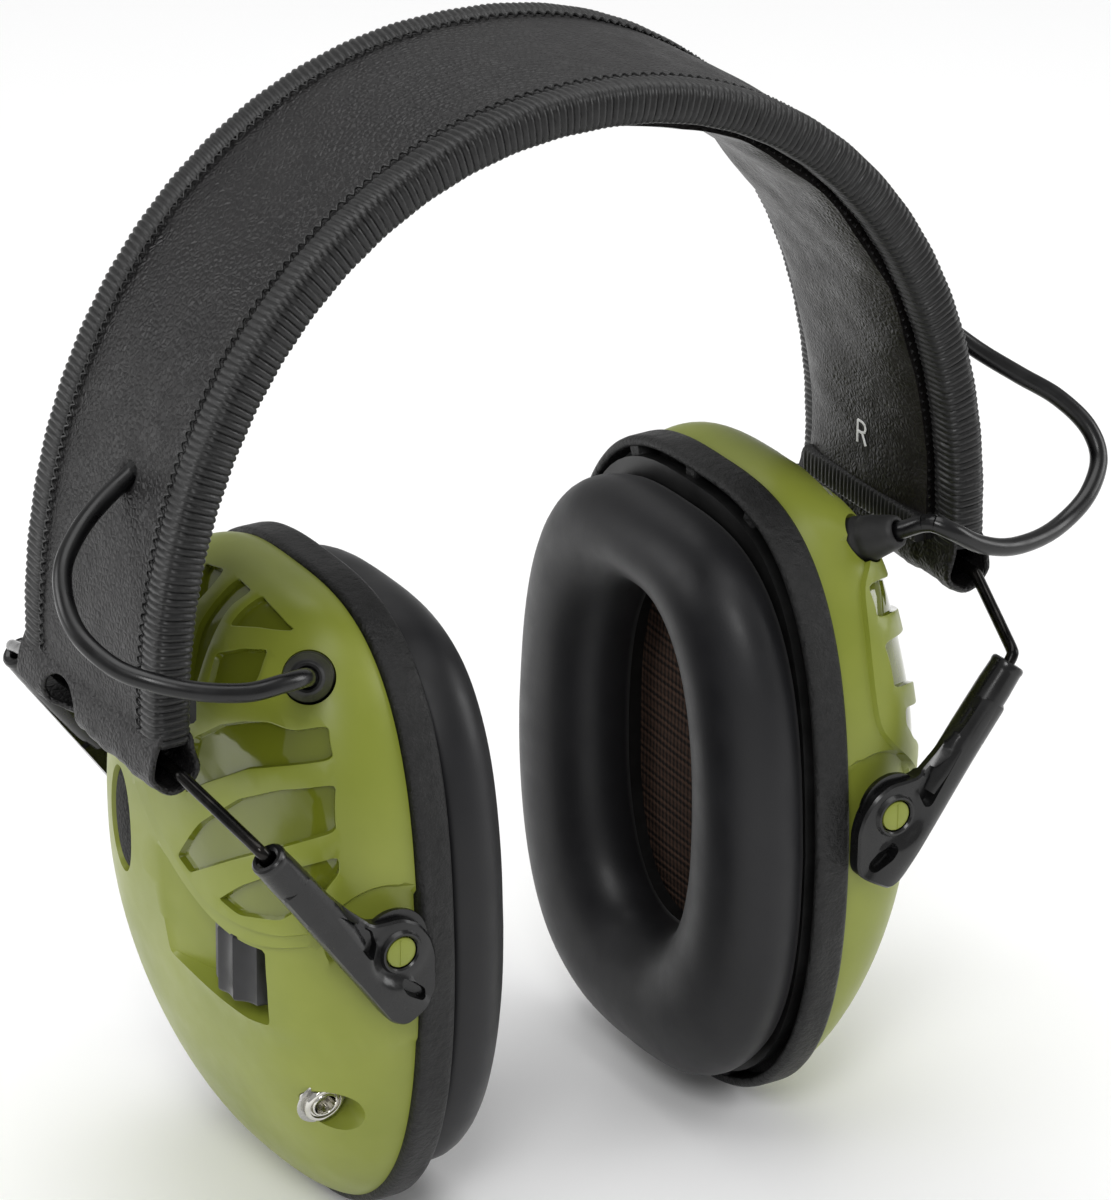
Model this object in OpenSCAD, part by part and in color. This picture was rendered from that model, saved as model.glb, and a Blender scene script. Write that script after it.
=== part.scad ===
// Folding hearing-protection earmuffs with an audio input, in millimetres.
// Origin: inside top of the headband, where the crown of the head touches it.
// +X is the wearer's right, +Y the wearer's front, +Z up.

/* [Headband] */
// Half of the outer span of the band
band_half_span = 77; // [70:0.5:84]
// Height of the arch from its spring line to its outer top
band_rise = 90.3; // [80:0.5:100]
// Width of the band, front to rear
band_width = 46; // [38:1:52]
// Depth of the padding at the crown, outer leather to lining
pad_depth = 10.3; // [8:0.1:14]
// Thickness of the sewn edge binding
binding_depth = 7.2; // [5:0.2:8]
// How far the edge binding laps over the leather
binding_lap = 6; // [4:0.5:8]

/* [Ear cups] */
// Width of the bumper ring round an ear cup
rim_width = 80.4; // [70:0.2:80.4]
// Height of the bumper ring
rim_height = 110.6; // [100:0.2:116]
// Thickness of the bumper ring, inside to outside
rim_thickness = 6.3; // [5:0.1:8]
// Middle of the bumper ring from the centre plane
cup_offset = 36.9; // [35:0.1:40]
// Middle of the bumper ring below the crown
rim_drop = 122; // [118:0.5:126]
// How far the domed shell stands out from the ring
dome_rise = 23.4; // [20:0.2:26]
// Wall thickness of the shell
shell_wall = 2.2; // [1.6:0.1:2.6]
// Depth of the ear cushion
cushion_depth = 12.9; // [10:0.1:14]

/* [Yokes and arms] */
// Radius of the yoke wire
wire_r = 1; // [0.8:0.05:1.1]
// Yoke's crossbar from the centre plane
crossbar_x = 73.5; // [72:0.5:75]
// Yoke's crossbar below the crown
crossbar_drop = 86; // [85:0.5:88]
// Lean of the arms away from the vertical, in degrees
arm_lean = 37.3; // [34:0.1:40]
// Middle of each arm from the front-to-rear centre line
arm_y = 41.9; // [41.9:0.1:43]
// Radius of the pivot pin's shank
pin_r = 2; // [1.6:0.1:2.2]
// Radial gap of every running fit
running_gap = 0.05; // [0.02:0.01:0.1]

/* [Audio] */
// Diameter of the cable
cable_d = 3; // [2.4:0.1:3.4]
// Radius of the audio jack's hole
jack_r = 1.8; // [1.76:0.01:1.85]
// Radius of the volume wheel
wheel_r = 9; // [8:0.1:9.2]

/* [Hidden] */
$fn = 48;

// Headband, worked out from the sizes above
arch_base = pad_depth - band_rise;
arch_power = 2.12;
arch_steps = 40;
leg_drop = 2;
cover_inset = 1;
cover_wall = 1.2;
strip_inset = 2.3;
strip_wall = 0.8;
strip_width = 18;
lining_wall = 1.3;
lead_inset = 5.2;
lead_y = -4;
cable_r = cable_d / 2;

// Ear cups
rim_z = -rim_drop;
rim_inner_x = cup_offset - rim_thickness / 2;
dome_x = cup_offset + rim_thickness / 2;
shell_half_w = rim_width / 2 - 1.3;
shell_half_h = rim_height / 2 - 0.7;
apex_lift = 10;
outline_sides = 72;
loft_sides = 48;
plate_x = rim_inner_x - 0.7;
cushion_back = plate_x - 0.1;
ear_hole_half_w = 16;
ear_hole_half_h = 31;
ear_hole_lift = 3;

// Yokes, arms and pivots
arm_top = [69.2, -92.4];
pin_at = [45.9, -115];
crossbar_z = -crossbar_drop;
wire_reach = 34;
tube_r = 3;
tube_length = 24;
plate_inner_y = rim_width / 2 + 0.4;
plate_outer_y = plate_inner_y + 2.6;
eye_r = 5;

// Things set into the shell; places are for a cup on the right side
relief_tip = [54.3, -29.5, -72.1];
relief_axis = [0.47, -0.77, 0.42];
relief_length = 13;
relief_r = 3.9;
wheel_at = [54, -17, -124.5];
wheel_height = 12;
jack_at = [51.4, -29.4, -147.5];
jack_tilt = 14.5;
jack_length = 13;
jack_barrel_r = 3.4;
recess_r = 4.6;
recess_shift = 0.8;
recess_depth = 3.5;
mic_at = [58, 18, -115];
mic_half_w = 4.5;
mic_half_h = 9;
speaker_z = -112;
cell_r = 5.25;
cell_length = 44.5;
cell_lean = 8;
cell_at = [50.1, -133];
door_half_w = 13.5;
door_top = -112.5;
door_bottom = -156.5;
door_hinge = [55.2, -156.2];

// Route of the free cable on each side, from the band to the strain relief
left_loop = [[-70.6, -4, -44.6], [-76, -5, -47.5], [-81, -7, -50.5], [-85.5, -10.5, -54],
    [-87.5, -15, -58], [-87.5, -20, -61.5], [-85, -26, -64.5], [-81, -30.5, -66],
    [-75, -34, -67.5], [-68, -36, -68.5], [-62, -36, -68.5], [-57.5, -34.2, -69.4],
    [-54.35, -29.54, -72.06]];
right_loop = [[70.6, -4, -44.6], [76.5, -6, -48.5], [83, -9.5, -54], [88.5, -13.5, -58],
    [93.5, -17.5, -61.5], [97, -21.5, -66], [97, -25, -70.5], [92.5, -28.5, -74.5],
    [86, -31, -77], [79, -33.5, -77.5], [71.5, -35.5, -76.5], [65, -36.5, -74],
    [60, -36.4, -70.8], [57, -33.9, -69.6], [54.35, -29.54, -72.06]];

// ---- helpers ----
function signed_power(v, p) = sign(v) * pow(abs(v), p);

// One point of the egg-shaped cup outline; the upper half is squarer and tapers
function cup_point(t, half_w, up, down) =
    let (n = sin(t) > 0 ? 3 : 2.6, across = signed_power(cos(t), 2 / n),
        rise = signed_power(sin(t), 2 / n))
    [half_w * across * (1 - 0.075 * max(rise, 0)), (rise > 0 ? up : down) * rise];

module cup_outline(inset)
    polygon([for (i = [0:outline_sides - 1])
        cup_point(i * 360 / outline_sides, rim_width / 2 - inset,
            rim_height / 2 - inset, rim_height / 2 - inset)]);

module ear_hole(grow)
    translate([0, ear_hole_lift])
        polygon([for (i = [0:outline_sides - 1])
            let (t = i * 360 / outline_sides)
            [(ear_hole_half_w + grow) * signed_power(cos(t), 0.8),
             (ear_hole_half_h + grow) * signed_power(sin(t), 0.8)]]);

// Extrudes an outline drawn in (Y, Z round the rim's middle) from x0 to x1
module along_x(x0, x1)
    translate([x0, 0, rim_z]) rotate([90, 0, 90]) linear_extrude(x1 - x0) children();

// Extrudes an outline drawn in (X, Z) from y0 to y1
module along_y(y0, y1)
    translate([0, y1, 0]) rotate([90, 0, 0]) linear_extrude(y1 - y0) children();

module left() mirror([1, 0, 0]) children();
module front() mirror([0, 1, 0]) children();

// Half-round arch at a depth below the outer surface, right foot to left foot
function arch_point(t, inset) =
    [(band_half_span - inset) * signed_power(cos(t), 2 / arch_power),
     arch_base + (band_rise - inset) * pow(sin(t), 2 / arch_power)];

function arch_line(inset, drop) = concat(
    drop > 0 ? [[band_half_span - inset, arch_base - drop]] : [],
    [for (i = [0:arch_steps]) arch_point(i * 180 / arch_steps, inset)],
    drop > 0 ? [[-band_half_span + inset, arch_base - drop]] : []);

function reversed(list) = [for (i = [len(list) - 1:-1:0]) list[i]];

module arch_layer(inset, depth, drop)
    polygon(concat(arch_line(inset, drop), reversed(arch_line(inset + depth, drop))));

// Solid through a list of rings, each with the same number of points
function ring_faces(n, a, b) = [for (i = [0:n - 1])
    let (j = (i + 1) % n)
    each [[a * n + i, a * n + j, b * n + j], [a * n + i, b * n + j, b * n + i]]];

module loft(rings) {
    n = len(rings[0]);
    last = len(rings) - 1;
    polyhedron(points = [for (ring = rings) each ring], faces = concat(
        [for (k = [0:last - 1]) each ring_faces(n, k, k + 1)],
        [[for (i = [n - 1:-1:0]) i]],
        [[for (i = [0:n - 1]) last * n + i]]));
}

module closed_loft(rings) {
    n = len(rings[0]);
    count = len(rings);
    polyhedron(points = [for (ring = rings) each ring],
        faces = [for (k = [0:count - 1]) each ring_faces(n, k, (k + 1) % count)]);
}

// Level of the dome at a share v of its rise, grown or shrunk all round
function dome_ring(v, grow) =
    let (half = (shell_half_w + grow) * pow(1 - pow(v, 2.8), 1 / 2.8),
        up = (shell_half_h + grow) * sqrt(1 - v * v),
        down = (shell_half_h + grow) * pow(1 - pow(v, 1.85), 1 / 1.85))
    [for (i = [0:loft_sides - 1])
        let (p = cup_point(i * 360 / loft_sides, half, up, down))
        [dome_x + (dome_rise + grow) * v, p[0], rim_z + apex_lift * v + p[1]]];

dome_levels = [for (k = [0:7]) sin(k * 11.2)];

// Unit vectors and a swept tube for the cables
function unit(v) = v / norm(v);
function along(route, i) = unit(route[min(i + 1, len(route) - 1)] - route[max(i - 1, 0)]);
function cable_ring(at, ahead) =
    let (side = unit(cross(ahead, [0.05, 0.1, 1])), up = cross(side, ahead))
    [for (k = [0:7]) at + cable_r * (cos(k * 45) * side + sin(k * 45) * up)];
module cable(route)
    loft([for (i = [0:len(route) - 1]) cable_ring(route[i], along(route, i))]);

// Cylinder from one point to another
module rod(from, to, r) {
    v = to - from;
    translate(from)
        rotate([0, acos(v[2] / norm(v)), atan2(v[1], v[0])])
            cylinder(h = norm(v), r = r);
}

// ---- headband ----
module band_cover() color("#1d1c1c") difference() {
    along_y(-band_width / 2 + 3.5, band_width / 2 - 3.5)
        arch_layer(cover_inset, cover_wall, leg_drop);
    for (side = [-1, 1])
        rod([side * 66, lead_y, -41.4], [side * 74, lead_y, -47], cable_r + 0.1);
}

module band_lining() color("#232120")
    along_y(-band_width / 2 + binding_lap, band_width / 2 - binding_lap)
        arch_layer(pad_depth - lining_wall, lining_wall, leg_drop);

module band_foam() color("#3a3a3a") difference() {
    along_y(-band_width / 2 + binding_lap + 0.2, band_width / 2 - binding_lap - 0.2)
        arch_layer(strip_inset + strip_wall + 0.1,
            pad_depth - lining_wall - strip_inset - strip_wall - 0.2, leg_drop);
    along_y(lead_y - cable_r - 0.3, lead_y + cable_r + 0.3)
        arch_layer(strip_inset, lead_inset + cable_r + 0.3 - strip_inset, -1);
}

module spring_strip() color("silver")
    along_y(-strip_width / 2, strip_width / 2) intersection() {
        arch_layer(strip_inset, strip_wall, 0);
        translate([-band_half_span, -36]) square([2 * band_half_span, 60]);
    }

module edge_binding() color("#141414") {
    along_y(-band_width / 2, -band_width / 2 + 3.4) arch_layer(0, binding_depth, leg_drop);
    along_y(-band_width / 2 + 3.4, -band_width / 2 + binding_lap)
        arch_layer(0, cover_inset - 0.1, leg_drop);
    along_y(-band_width / 2 + 3.4, -band_width / 2 + binding_lap - 0.1)
        arch_layer(binding_depth - 1.2, 1.2, leg_drop);
}

module band_end() color("#161515") difference() {
    along_y(-band_width / 2 + 0.2, band_width / 2 - 0.2) intersection() {
        union() {
            translate([crossbar_x, crossbar_z]) circle(4.3);
            translate([band_half_span - binding_depth, crossbar_z])
                square([binding_depth + 0.4, 10]);
        }
        translate([60, crossbar_z - 10]) square([30, arch_base - leg_drop - 0.1 - crossbar_z + 10]);
    }
    along_y(-band_width, band_width)
        translate([crossbar_x, crossbar_z]) circle(wire_r + running_gap);
}

module band_lead() color("#0d0d0d")
    cable(concat([[70.3, lead_y, -44.4], [68.6, lead_y, -42.9]],
        [for (i = [6:34]) let (p = arch_point(i * 4.5, lead_inset)) [p[0], lead_y, p[1]]],
        [[-68.6, lead_y, -42.9], [-70.3, lead_y, -44.4]]));

module cable_loop_left() color("#0d0d0d") cable(left_loop);
module cable_loop_right() color("#0d0d0d") cable(right_loop);

// ---- yoke, arms and pivots of the right side ----
// Point in the arm's plane: s along it from its top, w outboard of its axis
function arm_point(s, w) = [arm_top[0] - s * sin(arm_lean) + w * cos(arm_lean),
    arm_top[1] - s * cos(arm_lean) - w * sin(arm_lean)];

module wire_yoke() color("#1a1a1a") {
    bar_end = [crossbar_x, -band_width / 2 - 1.5, crossbar_z];
    bend = [arm_top[0], -arm_y, arm_top[1]];
    foot = arm_point(wire_reach, 0);
    rod([crossbar_x, -bar_end[1], crossbar_z], bar_end, wire_r);
    for (y_sign = [-1, 1]) scale_y(y_sign) {
        translate(bar_end) sphere(wire_r + 0.04);
        rod(bar_end, bend, wire_r);
        translate(bend) sphere(wire_r + 0.04);
        rod(bend, [foot[0], -arm_y, foot[1]], wire_r);
    }
}

// Keeps the rear half, or mirrors it to the front
module scale_y(y_sign) mirror([0, y_sign > 0 ? 1 : 0, 0]) children();

module arm() color("#151515") difference() {
    mouth = arm_point(1.6, 0);
    tube_end = arm_point(tube_length, 0);
    bore_end = arm_point(wire_reach + 2, 0);
    union() {
        rod([mouth[0], -arm_y, mouth[1]], [tube_end[0], -arm_y, tube_end[1]], tube_r);
        along_y(-plate_outer_y, -plate_inner_y) union() {
            translate(pin_at) circle(eye_r);
            polygon([arm_point(12, 2.8), arm_point(42, 3.4), arm_point(44.3, 1.2),
                arm_point(43.4, -2.6), arm_point(35.8, -8.2), arm_point(28.2, -8),
                arm_point(14, -2.8)]);
        }
    }
    rod([mouth[0] + 1, -arm_y, mouth[1] + 1.31], [bore_end[0], -arm_y, bore_end[1]],
        wire_r + running_gap);
    along_y(-plate_outer_y - 1, -plate_inner_y + 1) {
        translate(pin_at) circle(pin_r + running_gap);
        translate(arm_point(40.2, -1.5)) circle(1.3);
    }
}

module pivot_pin() color("#9aa34f") {
    along_y(-plate_outer_y - 0.2, -shell_half_w + 6.5) translate(pin_at) circle(pin_r);
    along_y(-plate_outer_y - 0.6, -plate_outer_y - 0.1) translate(pin_at) difference() {
        circle(pin_r + 0.7);
        translate([0, pin_r + 0.3]) square([0.6, 1.2], center = true);
        translate([0, -pin_r - 0.3]) square([0.6, 1.2], center = true);
    }
}

// ---- ear cup of the right side ----
module dome_wall()
    loft(concat(reversed([for (v = dome_levels) dome_ring(v, 0)]),
        [for (v = dome_levels) dome_ring(v, -shell_wall)]));

module pivot_boss()
    along_y(-shell_half_w + 0.4, -shell_half_w + 7) translate(pin_at) circle(4.5);

module mic_outline(grow)
    translate([mic_at[1], mic_at[2] - rim_z])
        polygon([for (i = [0:23])
            [(mic_half_w + grow) * cos(i * 15), (mic_half_h + grow) * sin(i * 15)]]);

module cup_shell_base() difference() {
    union() {
        dome_wall();
        along_x(rim_inner_x + 2.6, dome_x + 2) difference() {
            cup_outline(3.0);
            cup_outline(4.8);
        }
        pivot_boss();
        front() pivot_boss();
    }
    along_y(-60, 60) translate(pin_at) circle(pin_r + running_gap);
    along_x(50, 70) mic_outline(0.2);
    rod(relief_tip - 20 * unit(relief_axis), relief_tip, relief_r + 0.1);
}

// Z is the jack's own axis, from its face outwards
module at_jack(shift) translate(jack_at - [shift, 0, 0]) rotate([90 + jack_tilt, 0, 0]) children();

module left_cup_shell() color("#9aa34f") left() difference() {
    union() {
        cup_shell_base();
        intersection() {
            loft(reversed([for (v = dome_levels) dome_ring(v, -0.02)]));
            at_jack(recess_shift) translate([0, 0, -recess_depth - 1.6])
                cylinder(h = 20, r = recess_r + 1.2);
        }
    }
    translate(wheel_at) cylinder(h = wheel_height + 1.4, r = wheel_r + 0.7, center = true);
    at_jack(recess_shift) translate([0, 0, -recess_depth]) cylinder(h = 20, r = recess_r);
    at_jack(0) cylinder(h = 20, r = 3, center = true);
}

module right_cup_shell() color("#9aa34f") {
    difference() {
        cup_shell_base();
        door_box(0, 80);
        along_y(-door_half_w - 0.3, door_half_w + 0.3) translate(door_hinge) circle(1.5);
    }
}

module door_box(gap, reach)
    translate([50, -door_half_w + gap, door_bottom + gap])
        cube([reach - 50, 2 * (door_half_w - gap), door_top - door_bottom - 2 * gap]);

module battery_door() color("#9aa34f") {
    intersection() {
        dome_wall();
        door_box(0.4, 70);
    }
    along_y(-door_half_w + 0.4, door_half_w - 0.4) translate(door_hinge) circle(1);
}

module window_panel() color("#7d8438") {
    levels = [for (k = [0:6]) 0.36 + k * 0.09];
    arc = [4:20];
    grid = [for (grow = [0.15, 1]) for (v = levels)
        [for (i = arc) dome_ring(v, grow)[i]]];
    n = len([for (i = arc) i]);
    m = len(levels);
    polyhedron(points = [for (row = grid) each row], faces = concat(
        [for (k = [0:m - 2]) for (i = [0:n - 2]) each patch_cell(k, i, n, 0, true)],
        [for (k = [0:m - 2]) for (i = [0:n - 2]) each patch_cell(k, i, n, m, false)],
        [for (i = [0:n - 2]) each patch_edge(i, i + 1, m * n)],
        [for (i = [0:n - 2]) each patch_edge((m - 1) * n + i + 1, (m - 1) * n + i, m * n)],
        [for (k = [0:m - 2]) each patch_edge((k + 1) * n, k * n, m * n)],
        [for (k = [0:m - 2]) each patch_edge(k * n + n - 1, (k + 1) * n + n - 1, m * n)]));
}

// Two triangles of a patch's face, and of the edge that joins it to the face below
function patch_cell(k, i, n, m, out) =
    let (a = (k + m) * n + i, b = a + 1, c = a + n + 1, d = a + n)
    out ? [[a, b, c], [a, c, d]] : [[a, c, b], [a, d, c]];
function patch_edge(a, b, below) = [[a, a + below, b + below], [a, b + below, b]];

module bumper_ring() color("#1b1b1b")
    along_x(rim_inner_x, dome_x - 0.1) difference() {
        cup_outline(0);
        cup_outline(2.8);
    }

module cushion_plate() color("#111111")
    along_x(plate_x, plate_x + 2.2) difference() {
        cup_outline(3.1);
        ear_hole(0.6);
    }

// Ring of the cushion: f runs from the outer outline (0) to the ear hole (1)
function cushion_ring(x, f) = [for (i = [0:loft_sides - 1])
    let (t = i * 360 / loft_sides,
        edge = cup_point(t, rim_width / 2 - 4, rim_height / 2 - 4, rim_height / 2 - 4),
        hole = [ear_hole_half_w * signed_power(cos(t), 0.8),
            ear_hole_lift + ear_hole_half_h * signed_power(sin(t), 0.8)],
        p = edge * (1 - f) + hole * f)
    [x, p[0], rim_z + p[1]]];

module ear_cushion() color("#1c1c1d") {
    section = [[0, 0.96], [0, 0.04], [0.2, 0], [0.5, 0.01], [0.82, 0.13], [0.97, 0.32],
        [1, 0.5], [0.99, 0.68], [0.86, 0.87], [0.6, 0.98], [0.25, 1]];
    closed_loft([for (p = section) cushion_ring(cushion_back - cushion_depth * p[0], p[1])]);
}

module mesh_liner() color("#3b322c")
    along_x(plate_x + 2.3, plate_x + 2.9) ear_hole(4);

module foam_liner() color("#4a4a4a")
    along_x(plate_x + 3, plate_x + 5.4) difference() {
        cup_outline(8);
        translate([0, speaker_z - rim_z]) circle(16.4);
        for (spot = screw_spots) translate(spot) circle(2.6);
    }

module speaker() color("#2b2b2b")
    translate([plate_x + 3.2, 0, speaker_z]) rotate([0, 90, 0]) {
        cylinder(h = 2.4, r = 16);
        translate([0, 0, 2.4]) cylinder(h = 4.8, r = 11);
    }

screw_spots = [for (y_sign = [-1, 1]) for (z_off = [-33, 28]) [y_sign * 23, z_off]];

module speaker_frame() color("#202020") difference() {
    union() {
        along_x(plate_x + 5.6, plate_x + 7.2) difference() {
            cup_outline(8);
            translate([0, speaker_z - rim_z]) circle(11.3);
        }
        along_x(plate_x + 7.2, plate_x + 12) for (spot = screw_spots) translate(spot) circle(2.8);
    }
    along_x(plate_x + 5, plate_x + 11.5) for (spot = screw_spots) translate(spot) circle(1.25);
}

module frame_screws() color("silver") for (spot = screw_spots) translate([0, spot[0], spot[1]]) {
    translate([plate_x + 4.1, 0, rim_z]) rotate([0, 90, 0]) cylinder(h = 1.45, r = 2.4);
    translate([plate_x + 5.5, 0, rim_z]) rotate([0, 90, 0]) cylinder(h = 5.6, r = 1.2);
}

module microphone() color("#8a8a8a")
    translate([mic_at[0] - 4.2, mic_at[1], mic_at[2]]) rotate([0, 90, 0])
        cylinder(h = 3, r = 3);

module mic_foam() color("#1a1a1a") along_x(mic_at[0] - 1, mic_at[0] + 4) mic_outline(0);

module strain_relief() color("#121212") difference() {
    rod(relief_tip - relief_length * unit(relief_axis), relief_tip, relief_r);
    rod(relief_tip - 14 * unit(relief_axis), relief_tip - 1.5 * unit(relief_axis), cable_r);
}

// ---- volume control and jack, drawn for the right and mirrored to the left ----
module volume_wheel() color("#161616") left() translate(wheel_at) difference() {
    cylinder(h = wheel_height, r = wheel_r, center = true);
    for (i = [0:23]) rotate(i * 15) translate([wheel_r + 0.2, 0, 0])
        cylinder(h = wheel_height + 1, r = 0.7, center = true);
    cylinder(h = wheel_height + 1, r = 2 + running_gap, center = true);
}

module volume_switch() color("#c9c9c9") left() translate(wheel_at) {
    cylinder(h = wheel_height + 1.2, r = 2, center = true);
    translate([-3, 2, -wheel_height / 2 - 4.4]) cylinder(h = 3.8, r = 5);
}

module circuit_board() color("#2f6b3a") left()
    translate([43.55, -17, -158]) cube([1.1, 36, 48]);

module jack_socket() color("silver") left() at_jack(0) difference() {
    union() {
        translate([0, 0, -1]) cylinder(h = 1, r = jack_barrel_r);
        translate([0, 0, -jack_length]) cylinder(h = jack_length - 1, r = 2.9);
    }
    translate([0, 0, -jack_length - 1]) cylinder(h = jack_length + 2, r = jack_r);
}

module jack_contacts() color("silver") left() at_jack(0) difference() {
    union() {
        translate([0, 0, -jack_length - 1.6]) cylinder(h = 1.5, r = 2.9);
        for (turn = [90, 180, 270]) rotate(turn)
            translate([2.3, -0.7, -jack_length - 4.6]) cube([0.4, 1.4, 3.2]);
    }
    translate([0, 0, -jack_length - 5]) cylinder(h = 6, r = jack_r + 0.4);
}

// ---- battery compartment of the right cup ----
module in_battery_frame()
    translate([cell_at[0], 0, cell_at[1]]) rotate([0, cell_lean, 0]) children();

module battery_tray() color("#1d1d1d") in_battery_frame() difference() {
    translate([-6.4, -12.4, -24.4]) cube([9, 24.8, 48.8]);
    for (y_sign = [-1, 1]) translate([0, y_sign * 5.6, 0])
        cylinder(h = cell_length + 2.4, r = cell_r + 0.15, center = true);
    translate([0, -10.8, -(cell_length + 2.4) / 2]) cube([8, 21.6, cell_length + 2.4]);
}

module battery_cells() color("#b9b9bb") in_battery_frame()
    for (y_sign = [-1, 1]) translate([0, y_sign * 5.6, 0])
        cylinder(h = cell_length, r = cell_r, center = true);

module battery_contacts() color("silver") in_battery_frame()
    for (end = [-1, 1]) for (y_sign = [-1, 1])
        translate([0, y_sign * 5.6, end * (cell_length / 2 + 0.65)])
            cylinder(h = 0.7, r = 3.4, center = true);

band_cover();
band_lining();
band_foam();
spring_strip();
front() edge_binding();  // edge_binding_front
edge_binding();  // edge_binding_rear
left() band_end();  // band_end_left
band_end();  // band_end_right
band_lead();
cable_loop_left();
cable_loop_right();
left() wire_yoke();  // left_wire_yoke
left() front() arm();  // left_arm_front
left() arm();  // left_arm_rear
left() front() pivot_pin();  // left_pivot_pin_front
left() pivot_pin();  // left_pivot_pin_rear
left_cup_shell();
left() window_panel();  // left_window_panel
left() bumper_ring();  // left_bumper_ring
left() cushion_plate();  // left_cushion_plate
left() ear_cushion();  // left_ear_cushion
left() foam_liner();  // left_foam_liner
left() mesh_liner();  // left_mesh_liner
left() speaker();  // left_speaker
left() speaker_frame();  // left_speaker_frame
left() frame_screws();  // left_frame_screws
left() microphone();  // left_microphone
left() mic_foam();  // left_mic_foam
left() strain_relief();  // left_strain_relief
volume_wheel();
volume_switch();
circuit_board();
jack_socket();
jack_contacts();
wire_yoke();  // right_wire_yoke
front() arm();  // right_arm_front
arm();  // right_arm_rear
front() pivot_pin();  // right_pivot_pin_front
pivot_pin();  // right_pivot_pin_rear
right_cup_shell();
window_panel();  // right_window_panel
bumper_ring();  // right_bumper_ring
cushion_plate();  // right_cushion_plate
ear_cushion();  // right_ear_cushion
foam_liner();  // right_foam_liner
mesh_liner();  // right_mesh_liner
speaker();  // right_speaker
speaker_frame();  // right_speaker_frame
frame_screws();  // right_frame_screws
microphone();  // right_microphone
mic_foam();  // right_mic_foam
strain_relief();  // right_strain_relief
battery_tray();
battery_cells();
battery_contacts();
battery_door();
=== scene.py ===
import math

import bmesh
import bpy
import numpy as np
from mathutils import Matrix, Vector, geometry


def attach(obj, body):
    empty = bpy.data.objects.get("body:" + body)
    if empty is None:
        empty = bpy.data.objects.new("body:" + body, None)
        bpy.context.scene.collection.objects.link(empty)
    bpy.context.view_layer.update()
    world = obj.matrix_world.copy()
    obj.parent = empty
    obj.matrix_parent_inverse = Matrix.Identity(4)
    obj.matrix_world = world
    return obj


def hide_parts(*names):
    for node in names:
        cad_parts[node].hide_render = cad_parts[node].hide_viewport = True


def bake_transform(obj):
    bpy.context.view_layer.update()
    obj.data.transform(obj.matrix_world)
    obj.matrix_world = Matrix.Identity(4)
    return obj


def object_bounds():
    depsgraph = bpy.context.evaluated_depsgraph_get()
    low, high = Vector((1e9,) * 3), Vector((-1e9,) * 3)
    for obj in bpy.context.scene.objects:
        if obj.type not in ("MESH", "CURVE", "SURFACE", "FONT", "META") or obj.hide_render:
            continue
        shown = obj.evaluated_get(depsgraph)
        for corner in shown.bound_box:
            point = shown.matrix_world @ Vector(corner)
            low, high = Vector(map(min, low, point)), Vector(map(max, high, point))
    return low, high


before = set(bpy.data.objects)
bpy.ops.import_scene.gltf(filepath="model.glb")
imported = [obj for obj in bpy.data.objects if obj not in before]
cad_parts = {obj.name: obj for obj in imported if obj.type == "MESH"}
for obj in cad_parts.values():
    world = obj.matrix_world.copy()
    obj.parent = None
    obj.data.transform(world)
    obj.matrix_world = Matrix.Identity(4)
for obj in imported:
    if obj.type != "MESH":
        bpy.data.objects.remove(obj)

MM = 0.001
CAD_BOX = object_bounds()

# ---- sizes shared with the CAD, in millimetres; x is out of the ear, rear is -y ----
# headband: the arch is a superellipse over the two legs
HALF_SPAN, RISE, WIDTH = 77.0, 90.3, 46.0
ARCH_BASE, ARCH_POWER = -80.0, 2.12
SKIN_HALF, PAD_HALF = 19.6, 17.0
CABLE_IN = np.array([70.6, -4.0, -44.6])
# cup: height of the rim's middle, ring, dome of the shell and its superellipse powers
RIM_Z = -122.0
RING_HALF_W, RING_HALF_H = 40.2, 55.3
DOME_X, DOME_RISE = 40.05, 23.4
SHELL_HALF_W, SHELL_HALF_H = 38.9, 54.6
APEX_LIFT, SKIN = 10.0, 2.0
UPPER_POWER, LOWER_POWER, TOP_TAPER = 3.0, 2.6, 0.075
WINDOW_DEPTH, LEDGE_RISE, PIVOT_SINK, POCKET_DEPTH, JACK_SINK = 1.05, 0.85, 0.85, 4.6, 3.5
PLATE_X, CUSHION_BACK, CUSHION_DEPTH = 33.05, 32.95, 12.9
# arms, their pins and the wire's cross piece in the sleeve, as (x, z)
ARM_TOP, ARM_Y, ARM_LEAN = (69.2, -92.4), 41.9, math.radians(37.3)
PIN_AT = (45.9, -115.0)
BAR_X, BAR_Z = 73.5, -86.0
# boot of the cable, volume wheel, jack and microphone
RELIEF_TIP = np.array([54.3, -29.5, -72.1])
RELIEF_AXIS = np.array([0.47, -0.77, 0.42]) / np.linalg.norm([0.47, -0.77, 0.42])
WHEEL_AT, WHEEL_R = (54.0, -17.0, -124.5), 9.0
JACK_AT, JACK_TILT = np.array([51.4, -29.4, -147.5]), math.radians(14.5)
JACK_AXIS = np.array([0, -math.cos(JACK_TILT), -math.sin(JACK_TILT)])
MIC_AT, MIC_HALF_W, MIC_HALF_H, MIC_GAP = (18.0, -115.0), 4.55, 9.05, 0.35
CABLE_R, WIRE_R = 1.5, 1.0
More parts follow.
